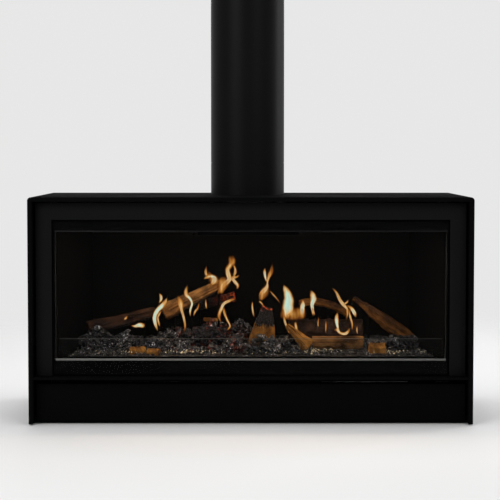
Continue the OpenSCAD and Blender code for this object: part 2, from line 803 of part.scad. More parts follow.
// Ember bed: a rolling slope between the tray's rims, with seats pressed into it
bed_steps = 12;
function bed_h(v) = bed_front_h + (bed_back_h - bed_front_h) * pow(v, 0.85) + 2.2 * sin(1100 * v) * (1 - v);
module ember_slope() {
    y0 = tray_y + tray_t + seat;
    y1 = tray_back_y - tray_t - seat;
    intersection() {
        along_x(-half_w, half_w)
            polygon(concat(
                [[y1, tray_top], [y0, tray_top]],
                [for (i = [0 : bed_steps])
                    [y0 + (y1 - y0) * i / bed_steps, tray_top + bed_h(i / bed_steps)]]));
        translate([0, 0, tray_z]) linear_extrude(200) tray_plan(tray_t + seat);
    }
}
module ember_bed() {
    color("#4b4642") difference() {
        ember_slope();
        for (log = pegged_logs, s = log[5]) {
            p = peg_seat(log, s);
            rod_z(tray_top, tray_top + 2 + seat, p[0], p[1], peg_foot_r + seat);
            rod_z(tray_top, tray_top + 90, p[0], p[1], peg_r + seat);
        }
        for (log = bedded_logs) {
            lo = log_low(log);
            hi = log_high(log);
            block([lo[0], lo[1], tray_top + log[5] - seat], [hi[0], hi[1], tray_top + 90]);
        }
        dark_lo = log_low(dark_log);
        dark_hi = log_high(dark_log);
        block([dark_lo[0], dark_lo[1], tray_top + 20], [dark_hi[0], dark_hi[1], tray_top + 90]);
        branch_lo = log_low(branch_log);
        branch_hi = log_high(branch_log);
        block([branch_hi[0] - 70, branch_lo[1], tray_top + 14], [branch_hi[0], branch_hi[1], tray_top + 90]);
        block(block_at - [42, 27, seat], block_at + [42, 27, 60]);
        for (c = chunks)
            translate(c[0]) rotate([0, 0, c[2]])
                block([-c[1][0] / 2 - 2, -c[1][1] / 2 - 2, -seat], [c[1][0] / 2 + 2, c[1][1] / 2 + 2, 60]);
    }
}

// A log: rings of bark along its path, with sawn ends
module log_body(log) {
    rings = [for (i = [0 : log_rings - 1]) log_ring(log, i / (log_rings - 1))];
    m = log_sides;
    last = (log_rings - 1) * m;
    faces = concat(
        [for (i = [0 : log_rings - 2], k = [0 : m - 1])
            [i * m + k, (i + 1) * m + k, (i + 1) * m + (k + 1) % m]],
        [for (i = [0 : log_rings - 2], k = [0 : m - 1])
            [i * m + k, (i + 1) * m + (k + 1) % m, i * m + (k + 1) % m]],
        [[for (k = [0 : m - 1]) k]],
        [[for (k = [m - 1 : -1 : 0]) last + k]]);
    polyhedron(points = [for (r = rings, p = r) p], faces = faces, convexity = 4);
}
module pegged_log(log) {
    difference() {
        log_body(log);
        for (s = log[5]) {
            p = peg_seat(log, s);
            rod_z(p[2] - 80, p[2], p[0], p[1], peg_r + seat);
        }
    }
}
module bedded_log(log) {
    difference() {
        log_body(log);
        block([-half_w, front_y, tray_top], [half_w, rear_y, tray_top + log[5]]);
    }
}
module log_split() { color("#a07c52") pegged_log(split_log); }
module log_back_left() { color("#7a4a34") pegged_log(back_left_log); }
module log_charred_left() { color("#2b2522") bedded_log(charred_left_log); }
module log_charred_middle() { color("#2b2522") bedded_log(charred_middle_log); }
module log_glowing_stub() { color("#8a3a22") pegged_log(stub_log); }
module log_dark() { color("#3a2a2c") pegged_log(dark_log); }
module log_plank() { color("#b08d5c") bedded_log(plank_log); }
module log_stick() { color("#6b4a30") bedded_log(stick_log); }
module log_arch() { color("#6b4a30") pegged_log(arch_log); }
module log_branch() { color("#8a5a30") pegged_log(branch_log); }
module log_charred_right() { color("#2b2522") bedded_log(charred_right_log); }

// Upright split block: a tapered prism with a broken, sloping top
block_profile = [
    [-0.5, -0.32], [-0.2, -0.5], [0.25, -0.46], [0.5, -0.2], [0.46, 0.3], [0.1, 0.5], [-0.38, 0.42]];
function block_ring(z, k, lean) = [for (p = block_profile)
    block_at + [p[0] * block_size[0] * k, p[1] * block_size[1] * k + lean, z - 6 * p[0] * (z > 90 ? 1 : 0)]];
module log_block() {
    rings = [
        block_ring(0, 0.92, 0), block_ring(38, 1, 0),
        block_ring(76, 0.94, 2), block_ring(block_size[2] - 4, 0.66, 5)];
    m = len(block_profile);
    faces = concat(
        [for (i = [0 : 2], k = [0 : m - 1]) [i * m + k, (i + 1) * m + k, (i + 1) * m + (k + 1) % m]],
        [for (i = [0 : 2], k = [0 : m - 1]) [i * m + k, (i + 1) * m + (k + 1) % m, i * m + (k + 1) % m]],
        [[for (k = [0 : m - 1]) k]],
        [for (k = [1 : m - 2]) [3 * m, 3 * m + k + 1, 3 * m + k]]);
    color("#c08a4a") polyhedron(points = [for (r = rings, p = r) p], faces = faces, convexity = 3);
}

// Loose chunks of bark: wedges with sloping tops
module bark_chunks() {
    color("#8a5a30") for (c = chunks)
        translate(c[0]) rotate([0, 0, c[2]]) translate([-c[1][0] / 2, 0, 0])
            rotate([90, 0, 90]) linear_extrude(c[1][0])
                polygon([
                    [-c[1][1] / 2, 0], [c[1][1] / 2, 0], [c[1][1] * 0.44, c[1][2] * 0.8],
                    [c[1][1] * 0.1, c[1][2]], [-c[1][1] * 0.4, c[1][2] * 0.62]]);
}

// Drop-down panel: a pan folded back on all sides, with a stiffener
module plinth_panel() {
    y1 = flap_y + flap_fold + flap_t;
    h = flap_half - flap_t;
    color("#2d2d2f") difference() {
        union() {
            block([-flap_half, flap_y, flap_low], [flap_half, flap_y + flap_t, flap_top]);
            block([-flap_half, flap_y, flap_top - flap_t], [flap_half, y1, flap_top]);
            block([-flap_half, flap_y, flap_low], [flap_half, y1, flap_low + flap_t]);
            both_sides() block([h, flap_y, flap_low], [flap_half, y1, flap_top]);
            block([-240, y1 - flap_t, flap_top - 14], [240, y1, flap_top]);
        }
        both_sides() rod_x(h - 1, flap_half + 1, flap_axis_y, flap_axis_z, flap_pin_r + run);
    }
}

// Pins and ears that carry the drop-down panel on the base pan
module panel_pins() {
    x0 = flap_half + 1.5;
    color("#b0b0b2") both_sides() {
        rod_x(flap_half - 6, x0 + 1, flap_axis_y, flap_axis_z, flap_pin_r);
        block([x0, flap_axis_y - 4, floor_z], [x0 + 3, flap_axis_y + 14, flap_axis_z + 6]);
    }
}

// Magnets: two on the firebox flange hold the door, two under the cross rail hold the panel
module catch_magnets() {
    door_z = door_low + 9 + seal_w + 1;
    fold_y = flap_y + flap_fold + flap_t + seat;
    color("#5a5a5c") {
        for (x = [-300, 300])
            block([x - 18, door_back_y + seat, door_z], [x + 18, flange_y, door_z + 14]);
        for (x = [-200, 200]) {
            block([x - 15, fold_y, flap_top - 12], [x + 15, rail_y + 14, flap_top + 12]);
            block([x - 15, rail_y, flap_top + 5], [x + 15, rail_y + 14, flap_top + 12]);
        }
    }
}

// Plate that carries the controls
module control_plate() {
    color("#3a3a3c") difference() {
        union() {
            block([plate_low_x, plate_y, floor_z], [plate_high_x, plate_y + panel_t, control_z + 40]);
            block([plate_low_x, plate_y, floor_z], [plate_high_x, plate_y + 22, floor_z + panel_t]);
        }
        rod_y(plate_y - 1, plate_y + panel_t + 1, valve_x, control_z, spindle_r + 1);
        rod_y(plate_y - 1, plate_y + panel_t + 1, igniter_x, control_z, igniter_d / 2 + 1.2 + seat);
        block(
            [switch_x - 8, plate_y - 1, control_z - 14],
            [switch_x + 8, plate_y + panel_t + 1, control_z + 14]);
    }
}

// Gas valve: cast block with a round head, side ports and nuts
module gas_valve() {
    y0 = plate_y + panel_t;
    y1 = valve_y + 20;
    color("#a9a9ab") difference() {
        union() {
            rod_y(y0, y0 + 16, valve_x, control_z, 15);
            block(
                [valve_x - valve_w / 2, y0 + 12, control_z - valve_h / 2],
                [valve_x + valve_w / 2, y1, control_z + valve_h / 2]);
            rod_z(control_z, control_z + valve_h / 2 + 8, valve_x, valve_y, 9);
            for (s = [-1, 1])
                translate([valve_x + s * (valve_w / 2 + nut_len / 2), valve_y, control_z]) rotate([0, 90, 0])
                    cylinder(h = nut_len, r = 11, center = true, $fn = 6);
        }
        rod_y(y0 - 1, y0 + 14, valve_x, control_z, spindle_r + run);
    }
}
module gas_knob() {
    r = knob_d / 2;
    color("#1c1c1e") difference() {
        union() {
            rod_y(knob_y + knob_depth - 8, plate_y - seat, valve_x, control_z, r);
            intersection() {
                rod_y(knob_y, plate_y - seat, valve_x, control_z, r - 1.5);
                block([valve_x - 5, knob_y, control_z - r], [valve_x + 5, plate_y - seat, control_z + r]);
            }
            rod_y(plate_y - seat - 1, plate_y + panel_t + 13, valve_x, control_z, spindle_r);
        }
        block([valve_x - 0.8, knob_y - 1, control_z + 4], [valve_x + 0.8, knob_y + 0.8, control_z + r - 3]);
    }
}

// Igniter: threaded body behind the plate, with its button
module igniter_body() {
    r = igniter_d / 2 + 1.2;
    color("#2a2a2c") difference() {
        union() {
            rod_y(plate_y - 3, plate_y + 30, igniter_x, control_z, r);
            rod_y(plate_y - 3, plate_y - seat / 2, igniter_x, control_z, r + 3);
        }
        rod_y(plate_y - 4, plate_y + 24, igniter_x, control_z, igniter_d / 2 - 0.9);
    }
}
module igniter_button() {
    r = igniter_d / 2 - 0.9 - seat;
    color("#c9c9cc") rod_y(plate_y - 3 - igniter_travel - 2, plate_y + 17, igniter_x, control_z, r);
}

// Rocker switch for the fan
module switch_bezel() {
    color("#19191b") difference() {
        union() {
            block(
                [switch_x - 11, plate_y - 2, control_z - 17],
                [switch_x + 11, plate_y - seat / 2, control_z + 17]);
            block(
                [switch_x - 7.7, plate_y - 2, control_z - 13.7],
                [switch_x + 7.7, plate_y + 24, control_z + 13.7]);
        }
        block(
            [switch_x - 6.4, plate_y - 3, control_z - 12.4],
            [switch_x + 6.4, plate_y + 13, control_z + 12.4]);
    }
}
module fan_switch() {
    color("#232325") translate([switch_x, plate_y + 5, control_z]) rotate([10, 0, 0])
        translate([-6, 0, 0]) rotate([90, 0, 90]) linear_extrude(12)
            polygon([[-8, -10.7], [-5.8, 0], [-8, 10.7], [0, 9.6], [5, 0], [0, -9.6]]);
}

// Round pipe bend: a quarter ring in the XY plane about its own middle
module bend(r, from) {
    rotate([0, 0, from]) rotate_extrude(angle = 90) translate([pipe_bend_r, 0]) circle(r);
}
module gas_pipes() {
    b = pipe_bend_r;
    x_in = valve_x - valve_w / 2 - nut_len;
    x_out = valve_x + valve_w / 2 + nut_len;
    color("#b87a50") {
        rod_x(inlet_x + b, x_in, valve_y, control_z, pipe_r);
        translate([inlet_x + b, valve_y + b, control_z]) bend(pipe_r, 180);
        rod_y(valve_y + b, cock_y - cock_len / 2, inlet_x, control_z, pipe_r);
        rod_x(x_out, burner_pipe_x - b, valve_y, control_z, pipe_r);
        translate([burner_pipe_x - b, valve_y, control_z + b]) rotate([90, 0, 0]) bend(pipe_r, -90);
        rod_z(control_z + b, chamber_z, burner_pipe_x, valve_y, pipe_r);
    }
}

// Isolating cock with its plain end through the rear panel
module gas_cock() {
    y0 = cock_y - cock_len / 2;
    y1 = cock_y + cock_len / 2;
    color("#b59a55") union() {
        rod_y(y0 + 8, y1 - 8, inlet_x, control_z, cock_r);
        for (y = [y0 + 5, y1 - 5])
            translate([inlet_x, y, control_z]) rotate([90, 0, 0])
                cylinder(h = 10, r = 11, center = true, $fn = 6);
        rod_z(control_z, control_z + cock_r + 3, inlet_x, cock_y, 7);
        rod_z(control_z, control_z + cock_r + 8, inlet_x, cock_y, 3);
        rod_y(y1 - 1, back_y + 2, inlet_x, control_z, inlet_r + 1);
        rod_y(back_y + 1, rear_y - 2, inlet_x, control_z, inlet_r);
    }
}
module cock_lever() {
    z = control_z + cock_r + 3 + seat;
    color("#c23b2e") difference() {
        union() {
            rod_z(z, z + 4, inlet_x, cock_y, 8);
            block([inlet_x - 6, cock_y - 50, z], [inlet_x + 6, cock_y, z + 3]);
            rod_z(z, z + 3, inlet_x, cock_y - 50, 6);
        }
        rod_z(z - 1, z + 5, inlet_x, cock_y, 3 + run);
    }
}

// Cross-flow blower: housing with cheeks, scroll, tongue, bearing and motor
function scroll_point(a, grow) =
    let (r = rotor_r + scroll_gap + 9 * a / 160 + grow) [r * cos(270 - a), r * sin(270 - a)];
module scroll_profile() {
    n = 16;
    polygon(concat(
        [for (i = [0 : n]) scroll_point(160 * i / n, 1.2)],
        [for (i = [n : -1 : 0]) scroll_point(160 * i / n, 0)]));
    rect(rotor_r + scroll_gap, 8, rotor_r + 14, 9.2);
    rect(rotor_r + scroll_gap, 8, rotor_r + scroll_gap + 1.2, 14);
}
module blower_housing() {
    cheek = rotor_r + 14;
    x0 = rotor_x - 3;
    x1 = rotor_end_x + 3;
    color("#77777a") translate([0, blower_y, blower_z]) difference() {
        union() {
            for (x = [x0 - cheek_t, x1])
                block([x, -cheek, floor_z - blower_z], [x + cheek_t, cheek, cheek]);
            along_x(x0 - 0.5, x1 + 0.5) scroll_profile();
            rod_x(x1, x1 + 10, 0, 0, 8);
            rod_x(x0 - cheek_t - motor_len, x0, 0, 0, motor_r);
        }
        rod_x(x0 - cheek_t - 14, x0 + 1, 0, 0, shaft_r + run);
        rod_x(x1 - 1, x1 + 8, 0, 0, shaft_r + run);
    }
}

// Rotor: forward-curved blades between three discs, on one shaft
function blade_point(t, side) =
    let (r = rotor_r - 9 + 8 * t, a = 26 * t * t + side * (0.6 + 2.2 * t * (1 - t)))
    [r * cos(a), r * sin(a)];
module blade_profile() {
    n = 5;
    polygon(concat(
        [for (i = [0 : n]) blade_point(i / n, -1)],
        [for (i = [n : -1 : 0]) blade_point(i / n, 1)]));
}
module blower_rotor() {
    x0 = rotor_x;
    x1 = rotor_end_x;
    color("#9c9ca0") translate([0, blower_y, blower_z]) union() {
        for (x = [x0, (x0 + x1) / 2 - 1, x1 - 2])
            rod_x(x, x + 2, 0, 0, rotor_r);
        for (i = [0 : rotor_blades - 1])
            rotate([i * 360 / rotor_blades, 0, 0]) along_x(x0 + 1, x1 - 1) blade_profile();
        rod_x(x0 - 16, x0 + 1, 0, 0, shaft_r);
        rod_x(x1 - 1, x1 + 10, 0, 0, shaft_r);
    }
}

// Mains inlet in the rear panel
module power_inlet() {
    x = power_x;
    y0 = back_face_y - 20;
    color("#161618") difference() {
        union() {
            block([x - 13.7, y0, control_z - 13.7], [x + 13.7, back_y, control_z + 13.7]);
            block([x - 24, back_y, control_z - 16], [x + 24, back_y + 3, control_z + 16]);
        }
        block([x - 12, y0 + 6, control_z - 9], [x + 12, back_y + 4, control_z + 9]);
    }
    color("#c9c9cc") for (p = [[-7, -3], [0, 4], [7, -3]])
        block(
            [x + p[0] - 1, y0 + 6 - 1, control_z + p[1] - 2],
            [x + p[0] + 1, back_y - 1, control_z + p[1] + 2]);
}

casing_shell();
casing_back();
base_pan();
glides();
fascia_frame();
fascia_clips();
hearth_ledge();
cross_rail();
flue_collar();
flue_pipe();
flue_liner();
flue_spacers();
intake_duct();
door_frame();
door_glass();
door_seal();
door_trim();
door_pins();
catch_magnets();
firebox_wrapper();
firebox_sides();
firebox_flange();
firebox_legs();
baffle_plate();
burner_tray();
burner_tube();
air_shutter();
gas_jet();
pilot_burner();
glass_guard();
log_pegs();
ember_bed();
log_split();
log_back_left();
log_charred_left();
log_charred_middle();
log_glowing_stub();
log_block();
log_dark();
log_plank();
log_stick();
log_arch();
log_branch();
log_charred_right();
bark_chunks();
plinth_panel();
panel_pins();
control_plate();
gas_valve();
gas_knob();
igniter_body();
igniter_button();
switch_bezel();
fan_switch();
gas_pipes();
gas_cock();
cock_lever();
blower_housing();
blower_rotor();
power_inlet();
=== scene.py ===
# %% [markdown]
# # A gas log fire in a wide steel casing
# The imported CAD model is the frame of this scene. Its nodes give the places and the main sizes,
# so a piece is dressed where it already stands: sheet metal gets softened edges and enamel, and
# the logs, embers and flames are grown in mesh code round the solids that carry them.

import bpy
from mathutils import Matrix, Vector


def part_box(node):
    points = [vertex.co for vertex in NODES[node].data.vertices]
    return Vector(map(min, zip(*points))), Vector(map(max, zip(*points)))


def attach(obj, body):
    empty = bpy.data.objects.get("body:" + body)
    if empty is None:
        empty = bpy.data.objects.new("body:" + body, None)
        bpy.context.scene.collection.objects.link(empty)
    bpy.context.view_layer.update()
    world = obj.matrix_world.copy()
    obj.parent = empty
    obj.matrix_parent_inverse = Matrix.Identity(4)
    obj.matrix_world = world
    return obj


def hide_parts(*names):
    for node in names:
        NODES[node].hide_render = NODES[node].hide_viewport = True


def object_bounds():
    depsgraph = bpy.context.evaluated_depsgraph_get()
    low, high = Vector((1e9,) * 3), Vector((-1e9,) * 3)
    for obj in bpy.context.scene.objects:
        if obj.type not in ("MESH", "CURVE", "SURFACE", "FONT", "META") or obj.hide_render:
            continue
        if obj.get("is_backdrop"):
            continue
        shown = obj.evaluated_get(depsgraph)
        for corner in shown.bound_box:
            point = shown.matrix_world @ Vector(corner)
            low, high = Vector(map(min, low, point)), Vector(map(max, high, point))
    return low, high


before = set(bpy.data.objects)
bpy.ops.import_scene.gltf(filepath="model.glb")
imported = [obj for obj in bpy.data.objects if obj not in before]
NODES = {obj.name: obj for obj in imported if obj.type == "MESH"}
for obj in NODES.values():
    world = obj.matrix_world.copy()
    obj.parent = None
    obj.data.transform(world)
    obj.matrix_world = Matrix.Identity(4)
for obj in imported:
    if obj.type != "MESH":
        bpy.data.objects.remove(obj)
CAD_BOX = [list(corner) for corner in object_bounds()]

import math
import random

import bmesh
import bpy
import numpy as np
from mathutils import Matrix, Vector, noise

MM = 0.001

# %% [markdown]
# ## Shader maths as plain Python
# A finish is easier to read as an expression than as a net of wires. `Link` wraps one output
# socket and turns `+ - * **` into Math nodes. `Net` makes and joins the nodes of any tree.
# `Finish` owns one material and its Principled shader: constants go straight onto its sockets,
# and only what changes over a surface is fed.

# %% Socket maths
def maths(operation, reflected=False):
    """An operator that adds a Math node. The reflected form makes 1 - link work."""
    def apply(link, other):
        a, b = (other, link) if reflected else (link, other)
        return link.net.node("ShaderNodeMath", {"operation": operation}, {0: a, 1: b})
    return apply


class Link:
    """One output socket that can be used in Python arithmetic."""

    __add__ = __radd__ = maths("ADD")
    __sub__ = maths("SUBTRACT")
    __rsub__ = maths("SUBTRACT", reflected=True)
    __mul__ = __rmul__ = maths("MULTIPLY")
    __pow__ = maths("POWER")

    def __init__(self, net, socket):
        self.net, self.socket = net, socket

    def between(self, low, high):
        """0 below low, 1 above high, and a smooth step in between."""
        return self.net.node("ShaderNodeMapRange", {"interpolation_type": "SMOOTHSTEP"}, {
            "Value": self, "From Min": low, "From Max": high})


class Net:
    """A node tree, of a material or of the world."""

    def __init__(self, tree):
        self.tree = tree

    def node(self, kind, settings=None, inputs=None, output=0):
        """Any node: its settings first, then values or links for its sockets."""
        made = self.tree.nodes.new(kind)
        for key, value in (settings or {}).items():
            if key == "stops":
                ramp = made.color_ramp
                while len(ramp.elements) < len(value):
                    ramp.elements.new(0.5)
                for element, (place, colour) in zip(ramp.elements, value):
                    element.position, element.color = place, (*colour, 1)
            else:
                setattr(made, key, value)
        for key, value in (inputs or {}).items():
            self.join(made.inputs[key], value)
        return Link(self, made.outputs[output])

    def join(self, socket, value):
        if isinstance(value, Link):
            self.tree.links.new(value.socket, socket)
        elif isinstance(value, (tuple, list)) and socket.type == "RGBA":
            socket.default_value = (*value[:3], 1)
        else:
            socket.default_value = value


class Finish(Net):
    """One material: a Principled shader and the nodes that vary it."""

    def __init__(self, name, **constants):
        self.material = bpy.data.materials.new(name)
        self.material.use_nodes = True
        super().__init__(self.material.node_tree)
        self.shader = self.tree.nodes["Principled BSDF"]
        self.feed(**constants)

    def feed(self, **inputs):
        """Values or links for the shader. Base_Color stands for its socket Base Color."""
        for socket, value in inputs.items():
            self.join(self.shader.inputs[socket.replace("_", " ")], value)

    def stretched(self, where, scale):
        return self.node("ShaderNodeMapping", {}, {"Vector": where, "Scale": scale})

    def place(self, scale=(1, 1, 1)):
        """Position in metres, stretched by scale."""
        return self.stretched(self.node("ShaderNodeTexCoord", output="Object"), scale)

    def grain(self, along, around):
        """Place on a log's own map, in metres along and around it, stretched."""
        return self.stretched(self.node("ShaderNodeUVMap", {"uv_map": "grain"}), (along, around, 1))

    def attribute(self, name):
        return self.node("ShaderNodeAttribute", {"attribute_name": name}, output="Fac")

    def cloud(self, where, scale, detail=3.0, roughness=0.5):
        return self.node("ShaderNodeTexNoise", {}, {
            "Vector": where, "Scale": scale, "Detail": detail, "Roughness": roughness})

    def blend(self, share, first, second):
        """A Mix node for colours: its factor and colours are sockets 0, 6 and 7, its result 2."""
        return self.node("ShaderNodeMix", {"data_type": "RGBA"}, {0: share, 6: first, 7: second}, output=2)

    def bump(self, height, distance, strength=1.0):
        return self.node("ShaderNodeBump", {}, {
            "Height": height, "Distance": distance, "Strength": strength})


print("socket maths ready")

# %% [markdown]
# ## Enamel, zinc and the other metals
# Stove enamel is sprayed and baked: nearly black, satin, with a very fine orange-peel skin and
# cloudy differences in gloss where hands and dust have been. The same recipe with other numbers
# gives the matt black of the firebox. Bare sheet gets the spangle of hot-dip zinc instead.

# %% Metal finishes
SKIN = 0.00002
SCRATCH = 0.00003
SPANGLE = 75


def times(tone, share):
    return [c * share for c in tone]


def enamel(name, tone, rough, specular):
    """Sprayed and baked coating with a fine skin."""
    coat = Finish(name, Specular_IOR_Level=specular)
    where = coat.place()
    haze = coat.cloud(where, 9, 4, 0.6)
    coat.feed(
        Base_Color=coat.blend(haze, times(tone, 0.86), times(tone, 1.16)),
        Roughness=haze * 0.14 + (rough - 0.07),
        Normal=coat.bump(coat.cloud(where, 900, 2), SKIN))
    return coat.material


def zinc(name, tone, rough):
    """Galvanised sheet: crystals of slightly different brightness."""
    metal = Finish(name, Metallic=1.0)
    where = metal.place()
    crystal = metal.node("ShaderNodeTexVoronoi", {}, {"Vector": where, "Scale": SPANGLE}, output="Color")
    grey = metal.node("ShaderNodeSeparateColor", {}, {"Color": crystal})
    stain = metal.cloud(where, 3.5, 5, 0.6)
    metal.feed(
        Base_Color=metal.blend(grey * 0.7 + stain * 0.3, times(tone, 0.86), times(tone, 1.06)),
        Roughness=grey * 0.14 + stain * 0.1 + (rough - 0.1),
        Normal=metal.bump(grey, SKIN))
    return metal.material


def brushed(name, tone, rough, along="X"):
    """Metal with fine lines along one axis."""
    metal = Finish(name, Metallic=1.0)
    lines = metal.cloud(metal.place([6 if axis == along else 700 for axis in "XYZ"]), 1.0, 3)
    stain = metal.cloud(metal.place(), 14, 3)
    metal.feed(
        Base_Color=metal.blend(stain * 0.6 + lines * 0.4, times(tone, 0.8), tone),
        Roughness=lines * 0.2 + (rough - 0.1),
        Normal=metal.bump(lines, SCRATCH))
    return metal.material


def moulded(name, tone, rough):
    """Fine-textured plastic or rubber."""
    plastic = Finish(name, Specular_IOR_Level=0.4)
    where = plastic.place()
    haze = plastic.cloud(where, 40, 3)
    plastic.feed(
        Base_Color=plastic.blend(haze, times(tone, 0.8), times(tone, 1.25)),
        Roughness=haze * 0.12 + (rough - 0.06),
        Normal=plastic.bump(plastic.cloud(where, 1600, 2), SCRATCH))
    return plastic.material


SHELL = enamel("shell_enamel", (0.0028, 0.0028, 0.0029), 0.85, 0.005)
FASCIA = enamel("fascia_enamel", (0.0046, 0.0046, 0.0047), 0.7, 0.05)
LEDGE = enamel("ledge_enamel", (0.003, 0.003, 0.0031), 0.9, 0.0)
FLUE = enamel("flue_enamel", (0.003, 0.003, 0.0032), 0.4, 0.045)
STOVE = enamel("firebox_enamel", (0.0011, 0.0011, 0.0011), 0.7, 0.015)
BAND = enamel("door_band_enamel", (0.0009, 0.0009, 0.001), 0.6, 0.01)
ZINC = zinc("zinc_sheet", (0.35, 0.355, 0.37), 0.45)
PLATE = brushed("zinc_plated", (0.55, 0.54, 0.5), 0.34)
STAINLESS = brushed("stainless", (0.5, 0.48, 0.46), 0.36)
STRIP = brushed("polished_strip", (0.165, 0.16, 0.156), 0.3)
# A darker copy of the polished strip: painted shade for the strip under the top band
SHADED_STRIP = brushed("shaded_strip", (0.018, 0.018, 0.019), 0.45)
BRASS = brushed("plain_brass", (0.62, 0.45, 0.18), 0.3)
COPPER = brushed("plain_copper", (0.58, 0.27, 0.15), 0.3)
CASTING = brushed("die_casting", (0.48, 0.48, 0.5), 0.5, "Z")
MAGNET = moulded("ferrite", (0.012, 0.012, 0.0125), 0.6)
BLACK_PLASTIC = moulded("control_plastic", (0.013, 0.013, 0.014), 0.5)
RED_GRIP = moulded("lever_grip", (0.42, 0.03, 0.02), 0.45)
RUBBER = moulded("glide_rubber", (0.02, 0.02, 0.02), 0.75)
print("metals", len(bpy.data.materials))

# %% [markdown]
# ## Clear ceramic glass
# Stove glass is a flat sheet that hardly shows. A Principled shader with transmission would
# bend light and leave the firebox dark behind it, so here most of the light goes straight
# through a Transparent shader, and Fresnel mixes in a clean reflection.

# %% Glass
def window_glass(name, tint, index):
    glass = Finish(name, Roughness=0.03, Metallic=1.0, Base_Color=(0.95, 0.95, 0.95))
    clear = glass.node("ShaderNodeBsdfTransparent", {}, {"Color": tint})
    gloss = glass.node("ShaderNodeFresnel", {}, {"IOR": index})
    dust = glass.cloud(glass.place(), 22, 4, 0.65)
    mixed = glass.node("ShaderNodeMixShader", {}, {
        0: gloss + dust * 0.0006, 1: clear, 2: Link(glass, glass.shader.outputs[0])})
    output = glass.tree.nodes["Material Output"]
    glass.join(output.inputs["Surface"], mixed)
    return glass.material


GLASS = window_glass("ceramic_glass", (0.96, 0.96, 0.955), 1.06)
GUARD_GLASS = window_glass("guard_glass", (0.98, 0.98, 0.98), 1.05)
GLASS_EDGE = moulded("glass_edge", (0.015, 0.017, 0.016), 0.4)
print("glass ready")

# %% [markdown]
# ## Give every CAD node its finish
# A node whose shape is right keeps its mesh. Only its material slots are filled.

# %% Paint the nodes
NODE_FINISH = {}
# The base pan, cross rail, fascia clips and panel pins are painted black. They show through the gaps round
# the panels, and this black is painted shade in those gaps.
for material, nodes in (
        (SHELL, "casing_shell plinth_panel base_pan cross_rail"), (LEDGE, "hearth_ledge"),
        (FASCIA, "fascia_frame"), (FLUE, "flue_collar flue_pipe"), (BAND, "door_frame"),
        (STOVE, "firebox_wrapper firebox_sides firebox_flange firebox_legs baffle_plate burner_tray"),
        (STOVE, "log_pegs pilot_burner fascia_clips door_pins panel_pins"),
        (ZINC, "casing_back intake_duct control_plate blower_housing"),
        (STAINLESS, "flue_liner flue_spacers burner_tube"), (STRIP, "door_trim igniter_button"),
        (BRASS, "air_shutter gas_jet gas_cock"), (COPPER, "gas_pipes"),
        (CASTING, "gas_valve blower_rotor"), (MAGNET, "catch_magnets"),
        (BLACK_PLASTIC, "gas_knob igniter_body switch_bezel fan_switch power_inlet"),
        (RED_GRIP, "cock_lever"), (RUBBER, "glides"),
        (GLASS, "door_glass"), (GUARD_GLASS, "glass_guard")):
    for node in nodes.split():
        NODE_FINISH[node] = material


def paint(thing, material):
    thing.data.materials.clear()
    thing.data.materials.append(material)


for node, material in NODE_FINISH.items():
    paint(NODES[node], material)
print("painted", len(NODE_FINISH))

# %% [markdown]
# ## Mesh helpers
# New pieces are lists of points and faces in metres. A piece then rides on its body and, where
# it stands for a CAD node, hides that node.

# %% Helpers for pieces
WELD = 1e-6


def add_object(name, data):
    thing = bpy.data.objects.new(name, data)
    bpy.context.scene.collection.objects.link(thing)
    return thing


def finished_mesh(name, mesh, work, smooth_below):
    """Object with the edited mesh, shaded smooth where faces meet below an angle."""
    work.to_mesh(mesh)
    work.free()
    mesh.shade_smooth()
    mesh.set_sharp_from_angle(angle=math.radians(smooth_below))
    return add_object(name, mesh)


def new_piece(name, points, faces, smooth_below):
    mesh = bpy.data.meshes.new(name)
    mesh.from_pydata([tuple(p) for p in points], [], [tuple(f) for f in faces])
    mesh.validate()
    work = bmesh.new()
    work.from_mesh(mesh)
    bmesh.ops.recalc_face_normals(work, faces=work.faces)
    return finished_mesh(name, mesh, work, smooth_below)


def node_copy(node, flat_within):
    """A copy of a node's mesh, welded, with the triangles of each flat face merged."""
    mesh = NODES[node].data.copy()
    work = bmesh.new()
    work.from_mesh(mesh)
    bmesh.ops.remove_doubles(work, verts=work.verts, dist=WELD)
    bmesh.ops.dissolve_limit(
        work, angle_limit=math.radians(flat_within), verts=work.verts, edges=work.edges)
    return mesh, work


def turns(count):
    """Equal angles once round, in radians."""
    return [2 * math.pi * k / count for k in range(count)]


def clamp(value):
    """The nearest value from 0 to 1."""
    return max(0.0, min(1.0, value))


def ripple(x, y, z):
    """Smooth noise from -1 to 1."""
    return noise.noise(Vector((x, y, z)))


def ring_faces(first, second, around, flipped=False):
    """Quads between two rings of points, each named by its first point's number."""
    quads = []
    for k in range(around):
        n = (k + 1) % around
        quad = [first + k, second + k, second + n, first + n]
        quads.append(quad[:1] + quad[:0:-1] if flipped else quad)
    return quads


def settle(thing, material, body, slot, *stands_for):
    """Paint a piece, hang it on its body and hide the nodes it stands for."""
    paint(thing, material)
    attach(thing, body)
    if stands_for:
        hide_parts(*stands_for)
    print(thing.name, len(thing.data.polygons), "faces on", body)
    return thing


def point_values(thing, **lists):
    """Floats for every vertex, which a finish can read by name."""
    for name, values in lists.items():
        made = thing.data.attributes.new(name, "FLOAT", "POINT")
        made.data.foreach_set("value", np.asarray(values, np.float32))


print("helpers ready")

# %% [markdown]
# ## Soften the folded sheet
# The CAD solids meet in knife edges, and real folded and painted sheet never does: its edges
# catch a thin line of light. The visible sheet parts, and the valve, inlet, switch and lever
# with them, are copied from their nodes. Their flat triangles are merged, and their sharp edges
# get a small bevel. A bevel modifier would do the same, but its result has to be in the mesh
# for the export.

# %% Bevelled copies
SHARP = math.radians(30)


